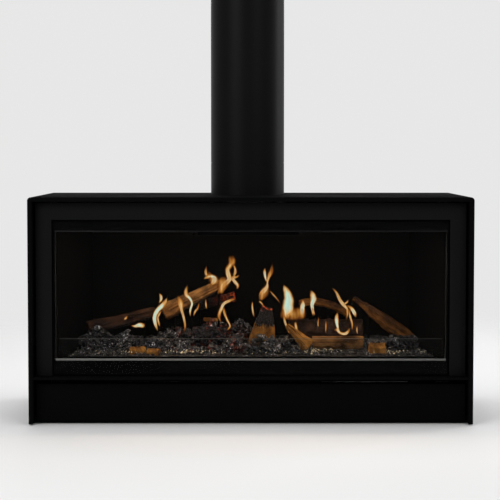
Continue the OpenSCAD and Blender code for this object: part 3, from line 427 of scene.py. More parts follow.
def softened(node, width, body, slot):
    """A copy of a node whose sharp edges get a bevel of a width in millimetres."""
    mesh, work = node_copy(node, flat_within=1)
    sharp = [e for e in work.edges if len(e.link_faces) == 2 and e.calc_face_angle(0) > SHARP]
    bmesh.ops.bevel(work, geom=sharp, offset=width * MM, segments=2, affect="EDGES",
                    clamp_overlap=True, profile=0.5)
    bmesh.ops.remove_doubles(work, verts=work.verts, dist=WELD)
    thing = finished_mesh(node + "_dressed", mesh, work, smooth_below=50)
    return settle(thing, NODE_FINISH[node], body, slot, node)


DRESSED = {}
for node, width, body, slot in (
        ("casing_shell", 0.5, "root", "shell_paint"), ("fascia_frame", 0.4, "root", "fascia_paint"),
        ("hearth_ledge", 0.35, "root", "shell_paint"), ("plinth_panel", 0.4, "panel", "shell_paint"),
        ("door_frame", 0.4, "door", "stove_black"), ("control_plate", 0.4, "root", "zinc_sheet"),
        ("door_trim", 0.3, "door", "polished_strip"), ("base_pan", 0.4, "root", "zinc_sheet"),
        ("glass_guard", 0.8, "root", "clear_ceramic"), ("gas_valve", 0.6, "root", "cast_alloy"),
        ("power_inlet", 0.4, "root", "control_black"), ("switch_bezel", 0.5, "root", "control_black"),
        ("fan_switch", 0.4, "rocker", "control_black"), ("cock_lever", 0.5, "lever", "lever_red")):
    DRESSED[node] = softened(node, width, body, slot).data

# The strip under the top band is a darker copy of the polished metal, as painted shade, and only the lower
# one is bright polish
trim_low, trim_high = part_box("door_trim")
DRESSED["door_trim"].materials.append(SHADED_STRIP)
for face in DRESSED["door_trim"].polygons:
    face.material_index = int(face.center.z > (trim_low.z + trim_high.z) / 2)

# The guard's ground top edge catches light, and its feet are dark steel clips
CLIP_HEIGHT = 0.0135
CLIP_FACE = 0.0006
GROUND_EDGE = 0.002
guard_low, guard_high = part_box("glass_guard")
DRESSED["glass_guard"].materials.append(GLASS_EDGE)
DRESSED["glass_guard"].materials.append(STOVE)
for face in DRESSED["glass_guard"].polygons:
    upright = abs(face.normal.x) + abs(face.normal.y) > 0.5
    if face.center.z > guard_high.z - GROUND_EDGE:
        face.material_index = 1
    elif face.center.z < guard_low.z + CLIP_HEIGHT and upright and face.area < CLIP_FACE:
        face.material_index = 2

# %% [markdown]
# ## Door seal
# The glass door closes on a black glass-fibre rope. Three strands wind round each other in each
# direction, so its skin is a row of small crossings. It follows the ring of its solid, with
# corners as tight as such a rope can take.

# %% Braided rope round the door
SEAL_WIDTH = 0.005
SEAL_CORNER = 0.006
SEAL_STEP = 0.0016
ROPE = moulded("seal_rope", (0.006, 0.006, 0.0062), 0.85)


def seal_track(low, high):
    """Rounded rectangle through the middle of the seal: place and outward way of each point."""
    inset = SEAL_WIDTH / 2 + SEAL_CORNER
    bends = []
    for x, z, start in ((high.x - inset, high.z - inset, 0), (low.x + inset, high.z - inset, 90),
                        (low.x + inset, low.z + inset, 180), (high.x - inset, low.z + inset, 270)):
        for k in range(9):
            angle = math.radians(start + 90 * k / 8)
            out = Vector((math.cos(angle), math.sin(angle)))
            bends.append((Vector((x, z)) + out * SEAL_CORNER, out))
    track = []
    for (here, out), (there, out_next) in zip(bends, bends[1:] + bends[:1]):
        count = max(1, round((there - here).length / SEAL_STEP))
        for k in range(count):
            track.append((here.lerp(there, k / count), out.lerp(out_next, k / count).normalized()))
    return track


def seal_rope():
    low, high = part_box("door_seal")
    track, around = seal_track(low, high), 18
    strands, pitch = 3, 0.36
    middle_y, half_y = (low.y + high.y) / 2, (high.y - low.y) / 2
    points, faces = [], []
    for i, (place, out) in enumerate(track):
        for turn in turns(around):
            lobe = strands / 2 * turn
            braid = abs(math.sin(lobe + i * pitch) * math.sin(lobe - i * pitch))
            reach = 1 - 0.2 * braid
            x, z = place + out * (math.cos(turn) * reach * SEAL_WIDTH / 2)
            points.append((x, middle_y + math.sin(turn) * reach * half_y, z))
        faces += ring_faces(i * around, (i + 1) % len(track) * around, around)
    rope = new_piece("door_seal_rope", points, faces, smooth_below=70)
    return settle(rope, ROPE, "door", "seal_rope", "door_seal")


seal_rope()

# %% [markdown]
# ## Screws
# The rear panel and the control plate are held by small pan-head screws. A head is a turned
# profile with a six-lobed socket, and one sits at every place where a panel is fixed.

# %% Pan-head screws
SIDE_INSET = 0.016
RIM_INSET = 0.02
PLATE_INSET = 0.012
INLET_LIP = 0.003
HEAD_PROFILE = [(1.0, 0.0), (1.0, 0.22), (0.9, 0.42), (0.66, 0.56), (0.46, 0.6), (0.42, 0.56), (0.4, 0.2)]


def screw_heads(name, places, sign, radius):
    """Heads at places, which look along the y axis by a sign."""
    points, faces, around = [], [], 36
    for place in places:
        first = len(points)
        for reach, rise in HEAD_PROFILE:
            for turn in turns(around):
                wide = reach * (1 + 0.14 * math.cos(6 * turn) * (reach < 0.5)) * radius
                head = Vector((math.cos(turn) * wide, sign * rise * radius, math.sin(turn) * wide))
                points.append(Vector(place) + head)
        last = first + (len(HEAD_PROFILE) - 1) * around
        for ring in range(first, last, around):
            faces += ring_faces(ring, ring + around, around, flipped=True)
        faces += [range(last, last + around), range(first, first + around)]
    return settle(new_piece(name, points, faces, smooth_below=40), PLATE, "root", "spring_steel")


rear_low, rear_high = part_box("casing_back")
rear_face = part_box("power_inlet")[1].y - INLET_LIP
rear_wide = rear_high.x - rear_low.x - 2 * SIDE_INSET
rear_x = [rear_low.x + SIDE_INSET + rear_wide * i / 5 for i in range(6)]
rear_z = rear_low.z + RIM_INSET, rear_high.z - RIM_INSET
rear_places = [(x, rear_face, z) for x in rear_x for z in rear_z]
rear_places += [(x, rear_face, (rear_low.z + rear_high.z) / 2) for x in (rear_x[0], rear_x[-1])]
screw_heads("rear_screws", rear_places, sign=1, radius=0.0036)
plate_low, plate_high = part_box("control_plate")
plate_x = plate_low.x + PLATE_INSET, plate_high.x - PLATE_INSET
plate_places = [(x, plate_low.y, plate_high.z - PLATE_INSET) for x in plate_x]
screw_heads("plate_screws", plate_places, sign=-1, radius=0.0034)

# %% [markdown]
# ## The fuel bed's finishes
# The logs are cast ceramic fibre, painted to look like timber at every stage of burning. One
# recipe serves all: grain that runs along the log, a `char` value on each vertex that blends
# to black scale, and a `glow` value that lets red light out of the cracks.

# %% Timber, char and embers
def timber(name, light, dark, glow_strength=1.6):
    wood = Finish(name, Specular_IOR_Level=0.07, Emission_Strength=glow_strength)
    fibre = wood.cloud(wood.grain(9, 210), 1.0, 5, 0.62)
    streak = wood.cloud(wood.grain(3.2, 48), 1.0, 3)
    where = wood.place()
    smoke = wood.cloud(where, 26, 4, 0.6)
    scale_gap = wood.node("ShaderNodeTexVoronoi", {"feature": "DISTANCE_TO_EDGE"}, {
        "Vector": wood.grain(70, 95), "Scale": 1.0})
    crack = 1 - scale_gap.between(0.0, 0.13)
    # Fine light spots on the char scale are partly ash and partly painted glints of light
    ash_and_glints = wood.cloud(where, 420, 3, 0.7).between(0.56, 0.7)
    char = (wood.attribute("char") + (smoke - 0.5) * 0.7).between(0.3, 0.72)
    timber_tone = wood.blend((fibre * 0.62 + streak * 0.5 - 0.06).between(0.22, 0.78), dark, light)
    scorched = wood.blend(smoke.between(0.3, 0.72) * 0.75, times(dark, 0.34), timber_tone)
    black = wood.blend(ash_and_glints * 0.7, (0.006, 0.0056, 0.0062), (0.2, 0.19, 0.21))
    # The gaps between the char scales are painted nearly black: painted shade in the cracks
    black = wood.blend(crack * 0.92, black, (0.001, 0.0009, 0.0009))
    fire = wood.attribute("glow") * (crack * 0.75 + smoke.between(0.5, 0.75) * 0.55)
    relief = fibre * (1 - char) + (1 - crack) * char * 1.6 + ash_and_glints * char * 0.35
    wood.feed(
        Base_Color=wood.blend(char, scorched, black),
        Roughness=0.78 - ash_and_glints * char * 0.3,
        Emission_Color=wood.blend(fire.between(0.12, 0.95), (0, 0, 0), (0.85, 0.1, 0.012)),
        Normal=wood.bump(relief, 0.0009, 0.9))
    return wood.material


BARK_TAN = timber("bark_tan", (0.39, 0.19, 0.056), (0.046, 0.019, 0.006))
BARK_RED = timber("bark_red", (0.085, 0.035, 0.014), (0.01, 0.0045, 0.0035))
BARK_GOLD = timber("bark_gold", (0.3, 0.12, 0.02), (0.025, 0.009, 0.004))
BARK_DARK = timber("bark_dark", (0.05, 0.023, 0.011), (0.008, 0.004, 0.003))
SPLIT_WOOD = timber("split_wood", (0.46, 0.215, 0.042), (0.13, 0.048, 0.009))
CHARRED = timber("charred", (0.05, 0.03, 0.022), (0.016, 0.01, 0.009))
GLOWING = timber("glowing_end", (0.07, 0.028, 0.018), (0.02, 0.008, 0.006), glow_strength=0.45)


def embers_finish():
    """Lumps of char and vermiculite: each lump has its own tone."""
    lumps = Finish("ember_granules", Specular_IOR_Level=0.3, Emission_Strength=0.4)
    where = lumps.place()
    grit = lumps.cloud(where, 520, 3, 0.65)
    tone = lumps.attribute("tone")
    dusted = lumps.cloud(where, 42, 2, 0.5).between(0.42, 0.6)
    # Small light spots, in patches, are partly ash and partly painted glints on the facets of the char
    ash_and_glints = lumps.cloud(where, 250, 2, 0.6).between(0.6, 0.66) * (dusted * 0.88 + 0.12)
    dark = lumps.blend(ash_and_glints, (0.0006, 0.0005, 0.0006), (0.5, 0.48, 0.52))
    grey = lumps.blend(ash_and_glints, (0.007, 0.0062, 0.0072), (0.85, 0.82, 0.88))
    # Golden vermiculite colour, whose brightest mottles are painted sparkle
    gold_and_sparkle = lumps.blend(grit, (0.5, 0.36, 0.17), (0.98, 0.9, 0.66))
    body = lumps.blend(tone.between(0.66, 0.9), dark, grey)
    body = lumps.blend(tone.between(0.945, 0.955), body, gold_and_sparkle)
    fire = lumps.attribute("glow") * lumps.cloud(where, 120, 3, 0.6).between(0.45, 0.7)
    lumps.feed(
        Base_Color=body,
        Roughness=0.22 + grit * 0.2,
        Emission_Color=lumps.blend(fire, (0, 0, 0), (0.6, 0.085, 0.022)),
        Normal=lumps.bump(grit, 0.0012, 0.9))
    return lumps.material


EMBERS = embers_finish()
print("fuel finishes ready")

# %% [markdown]
# ## The lie of the ember bed
# Lumps and logs lie on the solid that carries them. The box of the CAD node gives the bed's
# width, depth and back height, and its back corners give the splay of the sides. Only the front
# height is a value of its own.

# %% Surface of the ember bed
BED_LOW, BED_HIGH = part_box("ember_bed")
TRAY_LEVEL = BED_LOW.z
BED_DEPTH = BED_HIGH.y - BED_LOW.y
FRONT_HEIGHT = 0.011
BACK_RISE = BED_HIGH.z - BED_LOW.z - FRONT_HEIGHT
SIDE_SLOPE = 0.03
bed_corners = np.array([v.co for v in NODES["ember_bed"].data.vertices])
HALF_FRONT = BED_HIGH.x
HALF_BACK = float(bed_corners[bed_corners[:, 1] > BED_HIGH.y - MM][:, 0].max())


def bed_share(y):
    """0 at the bed's front edge and 1 at its back edge."""
    return clamp((y - BED_LOW.y) / BED_DEPTH)


def bed_half(y):
    return HALF_FRONT + (HALF_BACK - HALF_FRONT) * bed_share(y)


def bed_level(x, y):
    """Height of the heap: the solid's slope with a roll and small lumps."""
    v = bed_share(y)
    wave = 0.0022 * math.sin(math.radians(1100 * v)) * (1 - v)
    slope = FRONT_HEIGHT + BACK_RISE * v ** 0.85 + wave
    edge = clamp((bed_half(y) - abs(x)) / SIDE_SLOPE)
    roll = 0.0035 * ripple(x * 14, y * 14, 1.0)
    lumps = 0.0014 * ripple(x * 60, y * 60, 3.0)
    return TRAY_LEVEL + slope * (0.45 + 0.55 * edge) + (roll + lumps) * edge


print("bed", [round(c, 4) for c in BED_LOW], [round(c, 4) for c in BED_HIGH], round(HALF_BACK, 4))

# %% [markdown]
# ## Growing a log
# A log is a stack of rings along a bent centre line. Its outline at each angle says whether it
# is round, split or sawn, noise raises bark or scale, and both ends are closed with a rough
# disc. A subdivided cylinder with a displace modifier would need the same numbers and then
# give them less control over where the char starts.

# %% Shape of a log
FACETS = {  # facing angle and distance of each flat side, for a radius of 1
    "split": [(0.9, 0.82), (2.6, 0.95), (4.1, 0.86), (5.5, 0.9)],
    "plank": [(side, 0.95) for side in turns(4)], "round": [], "root": []}


def bent(path, s):
    """Point on the curve through three guide points, in metres."""
    a, b, c = path
    return a * ((1 - s) ** 2) + b * (2 * s * (1 - s)) + c * (s * s)


def outline(kind, angle):
    """Distance of the surface from the middle, for a radius of 1."""
    reach = 1.0
    for facing, distance in FACETS[kind]:
        lean = math.cos(angle - facing)
        if lean > 0.05:
            reach = min(reach, distance / lean)
    return reach


def girth(kind, radii, s, seed):
    """Radius at a share of the length, in metres. A root swells late and tapers at its foot."""
    if kind == "root":
        share = clamp((s - 0.15) / 0.5) - max(0.0, s - 0.8) * 1.6
    else:
        share = s
    radius = (radii[0] + (radii[1] - radii[0]) * share) * MM
    return radius * (1 + 0.07 * ripple(seed, s * 5, 2.0))


def bark(spot, angle, seed, rough, scorch):
    """Relief in metres: rough gives the height of ridges, splinters and scales of char."""
    ridges = noise.fractal(spot * 0.55, 0.9, 2.0, 4) * rough[0]
    fibres = noise.fractal(Vector((spot.x * 0.09, angle * 7, seed)), 0.8, 2.0, 3) * rough[1]
    near, next_near = noise.voronoi(Vector((spot.x * 0.62, spot.y * 1.1, spot.z * 1.1)))[0][:2]
    scales = (0.35 - (next_near - near)) * -rough[2] * scorch
    return (ridges + fibres * (1 - scorch) + max(-rough[2], min(rough[2] * 0.5, scales))) * MM


def everywhere(share):
    return lambda s, a: share


def ends(low, high, sharp=0.12):
    """Char that starts from both ends."""
    return lambda s, a: clamp(max((low - s) / sharp, (s - high) / sharp))


def below(share, least=0.0):
    """Char on the underside, over a least amount."""
    return lambda s, a: least + share * max(0.0, -math.sin(a))


print("outlines", list(FACETS))


# %% Rings along a centre line
# Scale of the grain's noise: millimetres for one unit along a log, and units for its radius
GRAIN_LENGTH = 9
GRAIN_ROUND = 3.2
DISC_RINGS = 6
DISC_SINK = 0.0008


def ways_at(guide, s):
    """Unit vectors ahead, to the side and up at a share of a log's length."""
    ahead = (bent(guide, min(1, s + 0.01)) - bent(guide, max(0, s - 0.01))).normalized()
    side = ahead.cross(Vector((0, 0, 1))).normalized()
    return ahead, side, side.cross(ahead).normalized()


def end_disc(rim, inward):
    """Rings of a rough disc within a rim: the angle, the point and its place in the grain."""
    middle = sum(rim, Vector()) / len(rim)
    for ring in range(1, DISC_RINGS):
        for angle, corner in zip(turns(len(rim)), rim):
            p = corner.lerp(middle, ring / DISC_RINGS)
            dent = noise.fractal(p * 260, 0.9, 2.0, 3) * 0.0012
            yield angle, p + inward * (DISC_SINK + dent), (ring * 0.004, angle * 0.006)


def log_piece(name, path, radii, kind, seed, rough, char, glow=everywhere(0.0), flat=(1, 1),
              around=56, along=84):
    """One log. char(s, angle) and glow(s, angle) run from 0 to 1, and s goes from end to end."""
    guide = [Vector(p) * MM for p in path]
    length = sum((bent(guide, i / 20) - bent(guide, (i - 1) / 20)).length for i in range(1, 21))
    turned = seed % 6 * 0.2 if kind == "split" else 0.0
    points, grain, chars, glows, faces = [], [], [], [], []
    for i in range(along):
        s = i / (along - 1)
        ahead, side, rise = ways_at(guide, s)
        radius = girth(kind, radii, s, seed)
        rounding = 1.0 if kind == "plank" else min(1.0, (min(s, 1 - s) * length) / (0.12 * radius) + 0.86)
        for angle in turns(around):
            right, up = math.cos(angle), math.sin(angle)
            way = side * right * flat[0] + rise * up * flat[1]
            spot = Vector((s * length * 1000 / GRAIN_LENGTH, right * GRAIN_ROUND, up * GRAIN_ROUND + seed))
            reach = radius * outline(kind, angle + turned) * rounding
            lift = bark(spot, angle, seed, rough, char(s, angle))
            point = bent(guide, s) + way * (reach + lift)
            if i in (0, along - 1):
                point += ahead * (0.0016 * noise.noise(spot * 1.7) * (1 if i else -1))
            points.append(point)
            grain.append((s * length, angle * radius))
            chars.append(char(s, angle))
            glows.append(glow(s, angle))
    for i in range(along - 1):
        faces += ring_faces(i * around, (i + 1) * around, around)
    for end, last in ((0, 0), (1, (along - 1) * around)):
        inward = (bent(guide, 0.98 if end else 0.02) - bent(guide, end)).normalized()
        first = len(points)
        for angle, point, place in end_disc(points[last:last + around], inward):
            points.append(point)
            grain.append(place)
            chars.append(min(1.0, char(end, angle) + 0.25))
            glows.append(glow(end, angle))
        for fresh in range(first, len(points), around):
            outer, inner = (fresh, last) if end else (last, fresh)
            faces += ring_faces(outer, inner, around, flipped=True)
            last = fresh
        cap = range(last, last + around)
        faces.append(cap[::-1] if end else cap)
    thing = new_piece(name, points, faces, smooth_below=60)
    map_grain(thing.data, grain, radii)
    point_values(thing, char=chars, glow=glows)
    return thing


def map_grain(mesh, grain, radii):
    """Lay the grain's map over a log, without a jump where its rings close."""
    uv = np.array([grain[loop.vertex_index] for loop in mesh.loops], np.float32)
    widest = 2 * math.pi * max(radii) * MM
    for face in mesh.polygons:
        across = uv[list(face.loop_indices), 1]
        if across.max() - across.min() > widest * 0.5:
            for index in face.loop_indices:
                if uv[index, 1] < widest * 0.25:
                    uv[index, 1] += math.pi * sum(radii) * MM
    mesh.uv_layers.new(name="grain").data.foreach_set("uv", uv.ravel())


print("logs can grow")

# %% [markdown]
# ## The log stack
# Long split timber climbs from the left, a dark round log lies across the right under a thin
# arched one, a bare branch leans down at the far right, and sawn and split offcuts lie at the
# front. Guide points are in millimetres from a point on the tray's floor, midway between its
# sides and 136 mm behind its front edge. They follow the centre lines of the solids, but the
# plank is longer at its left, and the stick and the branch are shaped more freely.

# %% Eleven logs and a splinter
# Millimetres from the tray's front edge to the bed, and to the line that guide points start from
TRAY_RIM = 1.8
FUEL_LINE = 136
FUEL_ORIGIN = (0, BED_LOW.y / MM - TRAY_RIM + FUEL_LINE, TRAY_LEVEL / MM)


def from_fuel(path):
    return [[c + o for c, o in zip(point, FUEL_ORIGIN)] for point in path]


def grow(name, path, radii, kind, seed, rough, char, finish, slot, **more):
    """A log in place of its solid."""
    made = log_piece(name + "_grown", from_fuel(path), radii, kind, seed, rough, char, **more)
    settle(made, finish, "root", slot, name)


grow("log_split", [(-240, 0, 111), (-150, 0, 158), (-60, 0, 200)], (25, 11), "split", 4, (1.0, 3.6, 1.0),
     lambda s, a: max(ends(0.05, 0.86)(s, a), below(0.7)(s, a)), BARK_TAN, "bark_tan")
grow("log_back_left", [(-450, -26, 72), (-360, 14, 84), (-268, 52, 107)], (20, 16), "split", 9,
     (1.2, 2.8, 1.0), below(0.6, 0.25), BARK_RED, "bark_red")
grow("log_charred_left", [(-466, -74, 36), (-384, -72, 42), (-302, -76, 34)], (20, 19), "round", 15,
     (6.0, 0.6, 7.0), everywhere(1.0), CHARRED, "charred")
grow("log_charred_middle", [(-156, -44, 50), (-110, -42, 58), (-66, -46, 50)], (28, 24), "round", 22,
     (7.0, 0.6, 8.0), everywhere(1.0), GLOWING, "charred_hot",
     glow=lambda s, a: 0.7 * max(0.0, ripple(s * 6, a * 2, 5.0) + 0.2))
grow("log_glowing_stub", [(-162, 58, 120), (-104, 58, 138), (-44, 58, 150)], (12, 14), "round", 31,
     (1.6, 0.8, 2.4), everywhere(0.95), GLOWING, "glowing_end",
     glow=lambda s, a: max(0.0, s * 1.1 - 0.2))
grow("log_dark", [(107, 0, 62), (210, 2, 60), (310, 0, 58)], (33, 33), "round", 44, (4.2, 3.4, 3.0),
     below(0.35, 0.34), BARK_DARK, "bark_dark")
grow("log_plank", [(168, -66, 37), (236, -66, 40), (305, -66, 37)], (10.5, 10.5), "plank", 52,
     (0.35, 0.5, 0.6), everywhere(0.0), BARK_TAN, "bark_tan", flat=(1, 1.8))
grow("log_stick", [(97, -99, 90), (128, -99, 62), (156, -99, 33)], (7, 24), "split", 61, (2.2, 4.2, 0.8),
     ends(0.1, 1.3, 0.3), SPLIT_WOOD, "bark_tan", flat=(1, 0.8))
grow("log_arch", [(137, 58, 130), (205, 58, 148), (276, 58, 101)], (10, 11), "round", 70, (1.2, 1.2, 1.0),
     everywhere(0.3), BARK_GOLD, "bark_dark")
grow("log_branch", [(284, 0, 153), (346, 0, 106), (444, 0, 38)], (6.5, 19), "root", 83, (3.0, 4.2, 1.4),
     lambda s, a: 0.2 * (1 - s) + 0.36 * max(0.0, math.sin(a + 0.5)), BARK_GOLD, "split_wood")
grow("log_charred_right", [(368, -74, 38), (402, -74, 44), (436, -74, 36)], (18, 18), "round", 92,
     (5.5, 0.6, 6.5), everywhere(1.0), CHARRED, "charred")
splinter = log_piece(
    "log_splinter", from_fuel([(-132, 30, 89), (-112, 28, 87), (-84, 30, 88)]), (5.5, 4.5), "split", 97,
    (1.6, 2.4, 0.8), ends(0.05, 0.8, 0.3), around=32, along=30)
settle(splinter, SPLIT_WOOD, "root", "split_wood")

# %% [markdown]
# ## Split block and loose chunks
# The block in the middle stands on end: its foot is fresh split wood and its head is burnt to
# square black scales. The loose chunks are wedges of the same wood. Both start from the
# corners of their solids, are cut into small faces, and are roughened along the upright grain.

# %% Solids turned into rough wood
def roughened(node, cut, amount, char_from, taper):
    """Split wood from a solid. char_from is a share of its height, and so is taper of its width."""
    mesh, work = node_copy(node, flat_within=2)
    bmesh.ops.triangulate(work, faces=work.faces)
    for _ in range(9):
        long = [e for e in work.edges if e.calc_length() > cut]
        if not long:
            break
        bmesh.ops.subdivide_edges(work, edges=long, cuts=1)
        bmesh.ops.triangulate(work, faces=work.faces)
    work.normal_update()
    low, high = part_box(node)
    chars, glows = [], []
    for vertex in work.verts:
        p = vertex.co
        level = (p.z - low.z) / (high.z - low.z)
        ragged = 0.16 * ripple(p.x * 420, p.y * 420, level * 2)
        scorch = clamp((level - char_from - ragged) / 0.07)
        near, next_near = noise.voronoi(p * 95)[0][:2]
        gap = min(1.0, (next_near - near) * 5)
        across = Vector((p.x * 900, p.y * 900, p.z * 81))
        fibres = noise.fractal(across * 0.3, 0.9, 2.0, 4) * (1 - 0.5 * scorch)
        lift = (fibres - (1 - gap) * scorch * 2.4) * amount
        p = Vector((high.x - (high.x - p.x) * (1 - taper * level), p.y, p.z))
        vertex.co = p + vertex.normal * min(lift, amount)
        chars.append(scorch)
        glows.append(max(0.0, level - 0.84) * 14 * max(0.0, noise.noise(p * 130) + 0.16) * scorch)
    thing = finished_mesh(node + "_split", mesh, work, smooth_below=48)
    layer = mesh.uv_layers.new(name="grain")
    for loop in mesh.loops:
        p = mesh.vertices[loop.vertex_index].co
        layer.data[loop.index].uv = (p.z, p.x + p.y * 0.8)
    point_values(thing, char=chars, glow=glows)
    return settle(thing, SPLIT_WOOD, "root", "split_wood", node)


roughened("log_block", cut=0.003, amount=0.0022, char_from=0.52, taper=0.45)
roughened("bark_chunks", cut=0.0024, amount=0.0016, char_from=1.1, taper=0.0)

# %% [markdown]
# ## Ember bed
# The bed is a crust with thousands of loose grains on it. The crust replaces the plain slope
# of the solid. The grains are small faceted stones, each turned and squeezed at random and
# given its own tone: most are black, some grey, and a few are golden flakes of vermiculite.
# Light spots on the stones are ash and painted glints, and the flakes' brightest spots are
# painted sparkle.

# %% Crust
HOT_X = -0.11


def crust():
    columns, rows = 240, 56
    points, tones, glows, faces = [], [], [], []
    for j in range(rows + 1):
        y = BED_LOW.y + BED_DEPTH * j / rows
        half = bed_half(y) - 0.0005
        for i in range(columns + 1):
            x = -half + 2 * half * i / columns
            points.append((x, y, bed_level(x, y)))
            tones.append(0.3 + 0.35 * ripple(x * 45, y * 45, 9.0))
            glows.append(max(0.0, 0.45 - ((x - HOT_X) / 0.09) ** 2 - (y / 0.05) ** 2))
    width, count = columns + 1, len(points)
    for j in range(rows):
        for a in range(j * width, j * width + columns):
            faces.append((a, a + 1, a + width + 1, a + width))
    edge = [*range(width), *range(width + columns, count, width),
            *range(count - 2, count - width - 1, -1), *range((rows - 1) * width, 0, -width)]
    points += [(points[index][0], points[index][1], TRAY_LEVEL) for index in edge]
    tones += [0.2] * len(edge)
    glows += [0.0] * len(edge)
    for k in range(len(edge)):
        n = (k + 1) % len(edge)
        faces.append((edge[k], count + k, count + n, edge[n]))
    faces.append(range(count, count + len(edge)))
    thing = new_piece("ember_crust", points, faces, smooth_below=60)
    point_values(thing, tone=tones, glow=glows)
    return settle(thing, EMBERS, "root", "embers", "ember_bed")


crust()

# %% [markdown]
# A stone is a convex hull whose corners are then pushed in and out, so it looks crumpled and
# not cut. A few stones are made once and set down many times, each with another size and turn.
# A particle system would do the same, but its stones have to be in the mesh for the export.

# %% Stones
STONE_KINDS = 24


def broken_stone(rng, corners):
    """Points and triangles of a closed, crumpled stone of radius 1."""
    work = bmesh.new()
    for _ in range(corners):
        way = Vector((rng.gauss(0, 1), rng.gauss(0, 1), rng.gauss(0, 1))).normalized()
        work.verts.new(way * rng.uniform(0.78, 1.12))
    bmesh.ops.convex_hull(work, input=list(work.verts))
    bmesh.ops.delete(work, geom=[v for v in work.verts if not v.link_faces], context="VERTS")
    bmesh.ops.triangulate(work, faces=work.faces)
    work.verts.index_update()
    points = np.array([v.co * rng.uniform(0.68, 1.14) for v in work.verts])
    faces = np.array([[v.index for v in f.verts] for f in work.faces])
    work.free()
    return points, faces


def scatter(name, count, sizes, corners, seed, where, tone_range):
    """Many stones in one mesh. where(random) gives x, y, z and a share of glow."""
    rng = random.Random(seed)
    stones = [broken_stone(rng, corners) for _ in range(STONE_KINDS)]
    points, faces, tones, glows = [], [], [], []
    total = 0
    for _ in range(count):
        base, base_faces = rng.choice(stones)
        *place, hot = where(rng)
        size = rng.uniform(*sizes) * (0.7 + 0.6 * rng.random() ** 2)
        squeeze = np.array([rng.uniform(0.7, 1.35), rng.uniform(0.65, 1.15), rng.uniform(0.45, 0.85)])
        angle = rng.uniform(0, 6.28)
        axis = Vector((rng.uniform(-1, 1), rng.uniform(-1, 1), rng.uniform(-1, 1.01))).normalized()
        turn = np.array(Matrix.Rotation(angle, 3, axis))
        points.append((base * squeeze) @ turn.T * size * MM + np.array(place))
        faces.append(base_faces + total)
        total += len(base)
        tones += [rng.uniform(*tone_range)] * len(base)
        glows += [hot] * len(base)
    thing = new_piece(name, np.concatenate(points), np.concatenate(faces).tolist(), smooth_below=12)
    point_values(thing, tone=tones, glow=glows)
    return settle(thing, EMBERS, "root", "embers")


print("stones of", STONE_KINDS, "kinds")

# %% [markdown]
# Fine grains cover the whole bed, and more of them lie along its front. Charcoal is heaped in
# fifteen piles, among and under the logs, and smaller lumps lie over the pile at the left. The
# bright flakes lie in a few patches in front.

# %% Places for the stones
MOUNDS = [  # middle, spread and height of each pile of charcoal, in metres
    (-0.415, -0.06, 0.05, 0.026, 0.07), (-0.34, -0.065, 0.04, 0.024, 0.058),
    (-0.25, -0.07, 0.035, 0.022, 0.05), (-0.18, -0.075, 0.045, 0.022, 0.032),
    (-0.1, -0.088, 0.04, 0.016, 0.024), (-0.045, -0.08, 0.032, 0.02, 0.05),
    (0.03, -0.088, 0.055, 0.02, 0.05), (0.085, -0.075, 0.03, 0.02, 0.04),
    (0.19, -0.112, 0.06, 0.008, 0.008), (0.385, -0.062, 0.034, 0.024, 0.05),
    (0.435, -0.045, 0.02, 0.028, 0.04), (-0.2, 0.02, 0.07, 0.03, 0.045),
    (-0.1, 0.045, 0.06, 0.03, 0.06), (-0.03, 0.035, 0.048, 0.03, 0.066), (0.32, -0.03, 0.05, 0.03, 0.02)]
MOUND_SHARE = [wide * deep * high for _, _, wide, deep, high in MOUNDS]
FLAKE_PATCHES = [(-0.34, 0.03), (-0.15, 0.03), (-0.07, 0.05), (0.03, 0.03), (0.17, 0.04), (0.38, 0.02)]
BORDER = 0.005
HEAP_X = -0.385


def on_bed(rng):
    y = BED_LOW.y + BORDER + (BED_DEPTH - 2 * BORDER) * rng.random() ** 1.25
    x = rng.uniform(-1, 1) * (bed_half(y) - 0.007)
    hot = max(0.0, 0.5 - ((x - HOT_X) / 0.1) ** 2 - (y / 0.06) ** 2) * (rng.random() < 0.3)
    return x, y, bed_level(x, y) + rng.uniform(-0.0005, 0.0022), hot


def along_front(rng):
    y = BED_LOW.y + BORDER + rng.random() * 0.06
    x = rng.uniform(-1, 1) * (bed_half(y) - 0.008)
    return x, y, bed_level(x, y) + rng.uniform(0.0, 0.004), 0.0


def flakes(rng):
    x, y, _, _ = along_front(rng)
    if rng.random() < 0.8:
        x = rng.gauss(*rng.choice(FLAKE_PATCHES))
    return x, y, bed_level(x, y) + rng.uniform(0.0035, 0.0075), 0.0


def heap_left(rng):
    x = rng.gauss(HEAP_X, 0.045)
    y = rng.gauss(-0.075, 0.016)
    rise = 0.02 * math.exp(-((x - HEAP_X) / 0.06) ** 2 - ((y + 0.07) / 0.03) ** 2)
    return x, y, bed_level(x, y) + rise * rng.random(), 0.0


def on_mound(rng):
    mx, my, wide, deep, high = rng.choices(MOUNDS, MOUND_SHARE)[0]
    dx, dy = rng.gauss(0, 0.5), rng.gauss(0, 0.5)
    x, y = mx + dx * wide, my + dy * deep
    y = max(BED_LOW.y + 0.012, min(BED_HIGH.y - 0.012, y))
    x = max(-bed_half(y) + 0.015, min(bed_half(y) - 0.015, x))
    hot = max(0.0, 0.9 - ((x + 0.12) / 0.12) ** 2) * (rng.random() < 0.22)
    return x, y, bed_level(x, y) + high * math.exp(-dx * dx - dy * dy) * rng.uniform(0.1, 0.92), hot


